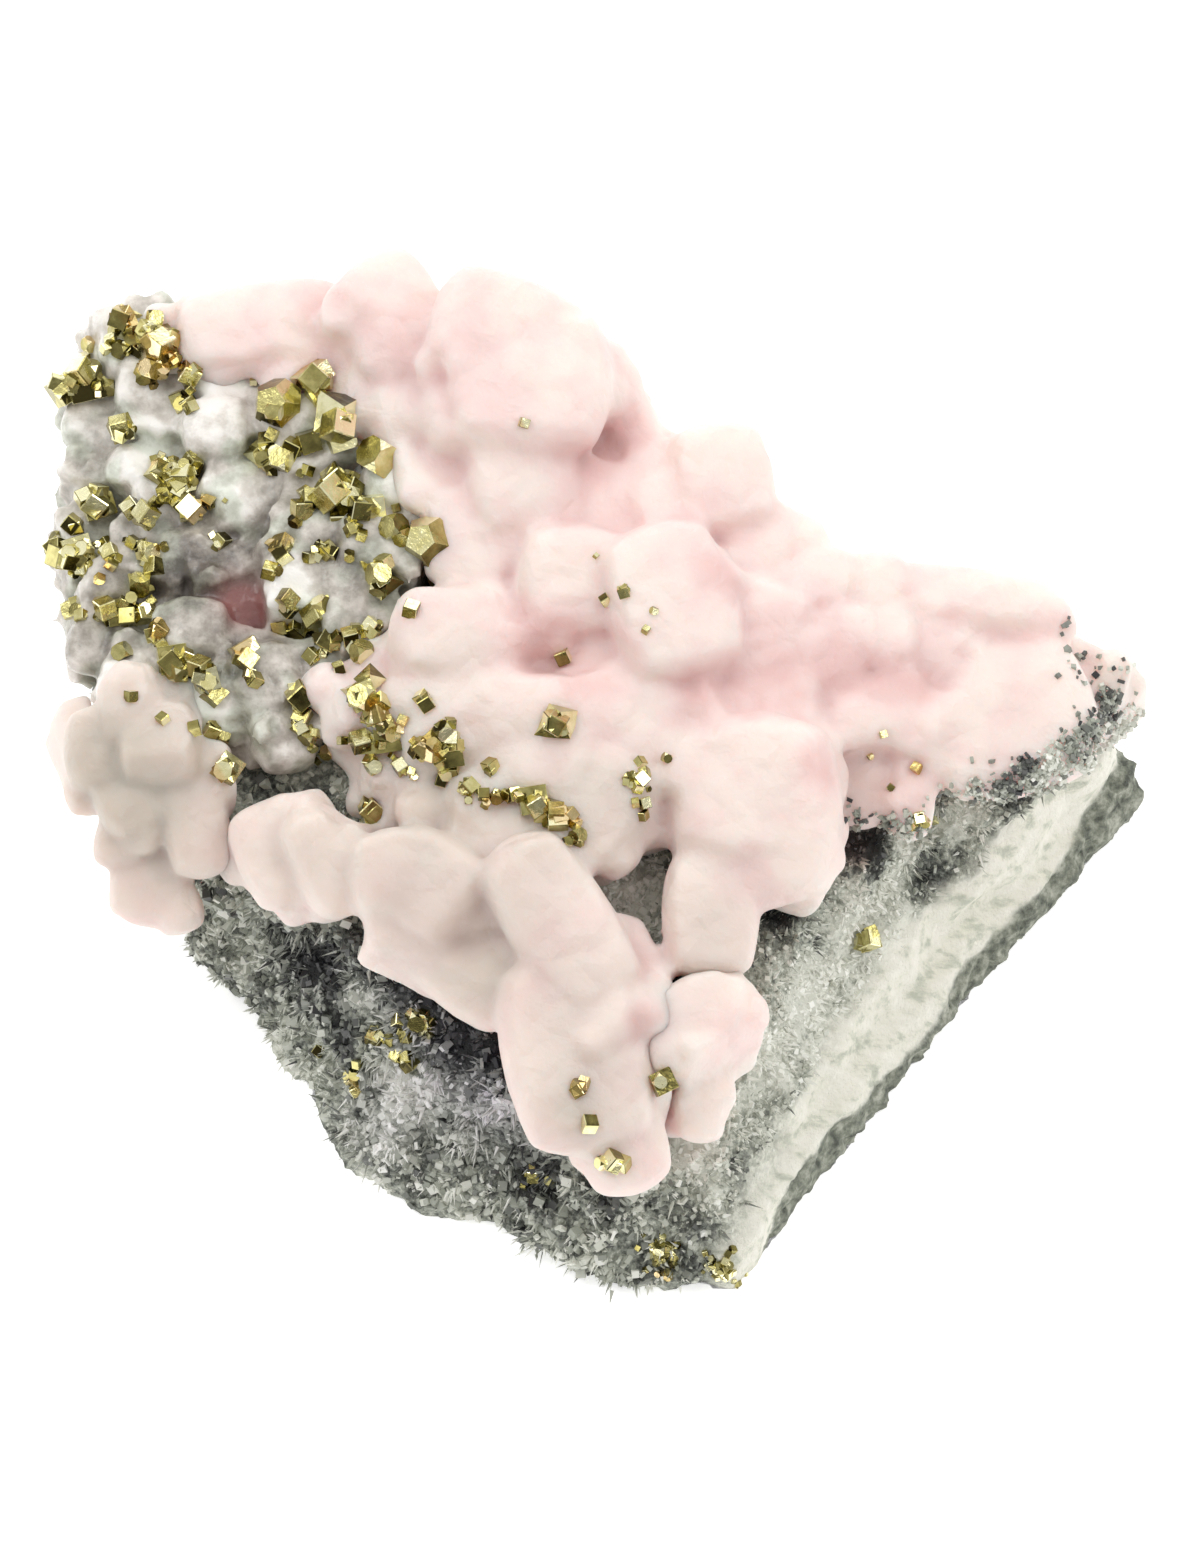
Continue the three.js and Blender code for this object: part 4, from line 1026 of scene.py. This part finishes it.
brass = Finish("pyrite_brass")
tarnish = brass.times(brass.sum(brass.grain(1.2, 3), 0.5, "SUBTRACT"), 0.5)
# Painted reflections: each face's painted tone, with tarnish over it, runs the brass from near black to pale
# bright yellow.
painted_reflection_and_tarnish = brass.sum(brass.attribute("tone"), tarnish)
brass_colour = brass.colours(
    painted_reflection_and_tarnish, (0.14, (0.055, 0.045, 0.015)), (0.40, (0.32, 0.28, 0.095)), (0.62, (0.66, 0.60, 0.26)),
    (0.86, (0.97, 0.93, 0.60)),
)
orange = brass.span(brass.grain(5.0, 1), 0.58, 0.66, 0, 0.6)
brass.coloured(brass.blended(orange, brass_colour, (1.0, 0.72, 0.55), "MULTIPLY"))
fill(brass.shader, Metallic=1.0, Roughness=0.2)
brass.bumped(brass.grain(0.5, 2, 0.6), 0.04)

brassy = []
for node in sorted(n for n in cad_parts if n.startswith("pyrite_")):
    crystal = copy_of(node, node.replace("pyrite_", "brassy_"))
    shaped(crystal, "BEVEL", width=PYRITE_EDGE, segments=1, limit_method="ANGLE", angle_limit=BEVEL_ANGLE)
    painted_face_reflections(crystal, points_of(crystal)[0])
    crystal.data.materials.append(brass.material)
    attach(crystal, "root")
    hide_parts(node)
    brassy.append(crystal)


# Smaller pyrite is strewn round the clusters, in nests and as single grains. Each grain sits on whatever
# carries it. A nest is pixel x, pixel y, spread in mm, how many grains, and the size of its largest in mm.
NESTS = [
    (122, 319, 0.9, 6, 1.6), (120, 350, 1, 6, 1.3), (160, 343, 1.6, 16, 1.8), (150, 368, 1.2, 7, 1.5),
    (192, 371, 0.5, 2, 1.6), (188, 402, 0.9, 6, 1.4), (80, 372, 1.4, 9, 1.8), (62, 388, 0.8, 4, 1.5),
    (107, 385, 0.7, 4, 1.3), (119, 427, 0.6, 3, 1.5), (129, 433, 0.4, 2, 1), (254, 380, 0.1, 1, 0.6),
    (314, 378, 0.8, 3, 1.9), (338, 424, 1, 5, 2.2), (268, 447, 1.3, 9, 2), (284, 460, 0.9, 5, 1.7),
    (307, 469, 0.4, 2, 0.9), (182, 476, 1.9, 24, 1.5), (165, 492, 1.4, 10, 1.2), (191, 510, 0.5, 3, 1.7),
    (210, 500, 0.8, 5, 1), (95, 503, 1.3, 9, 1.8), (145, 513, 0.7, 5, 1.6), (72, 525, 0.6, 3, 1.3),
    (63, 556, 1.2, 10, 1.8), (84, 550, 1.2, 8, 1.3), (110, 552, 1.6, 10, 1.2), (149, 554, 1.2, 9, 1.7),
    (140, 585, 0.4, 2, 1.7), (222, 542, 1, 5, 1.1), (271, 571, 0.4, 2, 1.2), (331, 494, 1.6, 13, 2.2),
    (302, 511, 0.8, 5, 1.5), (360, 508, 0.9, 5, 1.6), (396, 508, 0.1, 1, 0.7), (284, 548, 0.9, 6, 1.6),
    (327, 552, 1.2, 9, 1.3), (352, 530, 1.4, 7, 1), (394, 529, 0.8, 4, 1.9), (412, 610, 0.3, 1, 1.2),
    (380, 575, 0.9, 7, 1.7), (287, 600, 0.8, 6, 1.4), (317, 613, 0.8, 6, 1.7), (296, 628, 1.1, 8, 1.4),
    (330, 640, 1.3, 11, 1.5), (350, 637, 0.9, 6, 1.3), (372, 626, 0.8, 5, 1.2), (363, 653, 0.5, 3, 1.6),
    (338, 669, 0.3, 1, 0.9), (312, 656, 0.6, 3, 1.1), (122, 653, 0.3, 1, 1.4), (73, 610, 1, 6, 1.4),
    (107, 608, 1.2, 9, 1.5), (128, 617, 1, 6, 1.4), (145, 611, 0.8, 4, 1.2), (160, 632, 0.9, 6, 1.5),
    (172, 662, 1.2, 9, 1.7), (200, 669, 0.6, 4, 1.5), (207, 683, 0.5, 3, 1.4), (246, 660, 0.8, 5, 1.5),
    (254, 680, 0.5, 3, 1.1), (300, 696, 0.5, 3, 1.8), (302, 718, 0.8, 5, 1.4), (308, 735, 0.9, 6, 1.3),
    (328, 752, 0.8, 5, 1), (361, 697, 0.6, 3, 1.9), (377, 715, 0.9, 6, 1.6), (390, 728, 1.2, 10, 1.6),
    (360, 741, 1.1, 8, 1.5), (426, 703, 0.5, 3, 1.2), (443, 732, 0.7, 5, 1.4), (424, 747, 1.1, 9, 1.4),
    (374, 767, 0.5, 3, 1.2), (402, 767, 1, 7, 1.1), (447, 771, 0.9, 6, 1.2), (491, 767, 0.6, 4, 1.1),
    (212, 729, 0.6, 4, 1.2), (224, 735, 0.5, 3, 1), (163, 720, 0.3, 1, 0.9), (193, 729, 0.4, 2, 1),
    (224, 771, 0.6, 3, 1.6), (374, 808, 0.7, 4, 1.7), (131, 697, 0.3, 1, 0.9), (524, 423, 0.1, 1, 0.8),
    (563, 657, 0.1, 1, 1.1), (596, 556, 0.05, 1, 0.4), (606, 600, 0.1, 1, 0.8), (624, 592, 0.4, 3, 0.9),
    (654, 611, 0.1, 1, 0.6), (646, 630, 0.1, 1, 0.6), (557, 722, 0.8, 8, 1.5), (535, 805, 0.8, 6, 1.5),
    (560, 820, 1, 8, 1.7), (578, 836, 0.7, 5, 1.2), (640, 780, 1.2, 14, 1.1), (470, 788, 0.8, 7, 1.2),
    (496, 797, 0.6, 4, 1), (515, 794, 0.5, 4, 1.2), (642, 815, 0.4, 3, 0.8), (455, 745, 0.8, 5, 1),
    (883, 734, 0.1, 1, 0.6), (870, 756, 0.1, 1, 0.5), (917, 768, 0.1, 1, 0.8), (891, 788, 0.1, 1, 0.6),
    (918, 819, 0.9, 7, 0.9), (868, 940, 0.5, 4, 1.4), (579, 1087, 0.5, 4, 1.2), (589, 1124, 0.4, 2, 1.2),
    (613, 1160, 0.7, 5, 1.4), (660, 1081, 0.5, 4, 1.1), (660, 1248, 1.4, 34, 1),
    (722, 1270, 1.4, 34, 0.9), (375, 1038, 0.8, 6, 1.3), (417, 1020, 1.2, 9, 1.5),
    (408, 1062, 0.8, 5, 1.2), (356, 1081, 0.8, 6, 1.2), (535, 1175, 1.4, 8, 1), (320, 1050, 0.6, 3, 0.9),
    (378, 457, 0.05, 1, 2.8),
]
GRAIN_SINK = 0.12
CUBE_SHARE = 0.65

# A sharp cube and a cube with its corners cut off are the two forms of these grains.
small_cube = added(bpy.ops.mesh.primitive_cube_add, "small_cube", size=1)
edited(small_cube, bpy.ops.mesh.bevel, offset=0.05, segments=1)
in_triangles(small_cube)
blunt_cube = added(bpy.ops.mesh.primitive_cube_add, "blunt_cube", size=0.95)
edited(blunt_cube, bpy.ops.mesh.bevel, offset=0.3, affect="VERTICES")
in_triangles(blunt_cube)

rng = np.random.default_rng(41)
carriers = surface_of(rock, quartz, calcite_main, calcite_knob, calcite_left, *brassy)
cube_frames = []
blunt_frames = []
for pixel_x, pixel_y, spread, count, largest in NESTS:
    for turn in range(count):
        shift = rng.normal(0, spread * STREWN, 2) * PIXELS_PER_MM if turn else (0, 0)
        size = largest * (1 if turn == 0 else rng.uniform(0.35, 0.85))
        spin = Matrix(np.linalg.qr(rng.normal(0, 1, (3, 3)))[0])
        chosen = cube_frames if rng.random() < CUBE_SHARE else blunt_frames
        point, normal = seen_at(carriers, pixel_x + shift[0], pixel_y + shift[1])
        if point is None:
            continue
        if spin.determinant() < 0:
            spin.negate()
        middle = (point + normal * size * GRAIN_SINK) * MM
        chosen.append(np.array(Matrix.Translation(middle) @ spin.to_4x4() @ Matrix.Scale(size * MM, 4)))
small_pyrite = many_of(small_cube, "pyrite_grains", np.array(cube_frames))
blunt_pyrite = many_of(blunt_cube, "blunt_grains", np.array(blunt_frames))
for piece, model, grown in (
    (small_pyrite, small_cube, cube_frames),
    (blunt_pyrite, blunt_cube, blunt_frames),
):
    shifts = rng.uniform(0, 50, (len(grown), 3))
    painted_face_reflections(piece, np.repeat(shifts, len(model.data.polygons), axis=0))
absorb(small_pyrite, blunt_pyrite)
kept_over_table(small_pyrite)
small_pyrite.data.materials.append(brass.material)
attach(small_pyrite, "root")
for model in (needle, grain, lobe, quartz_point, small_cube, blunt_cube):
    bpy.data.objects.remove(model)
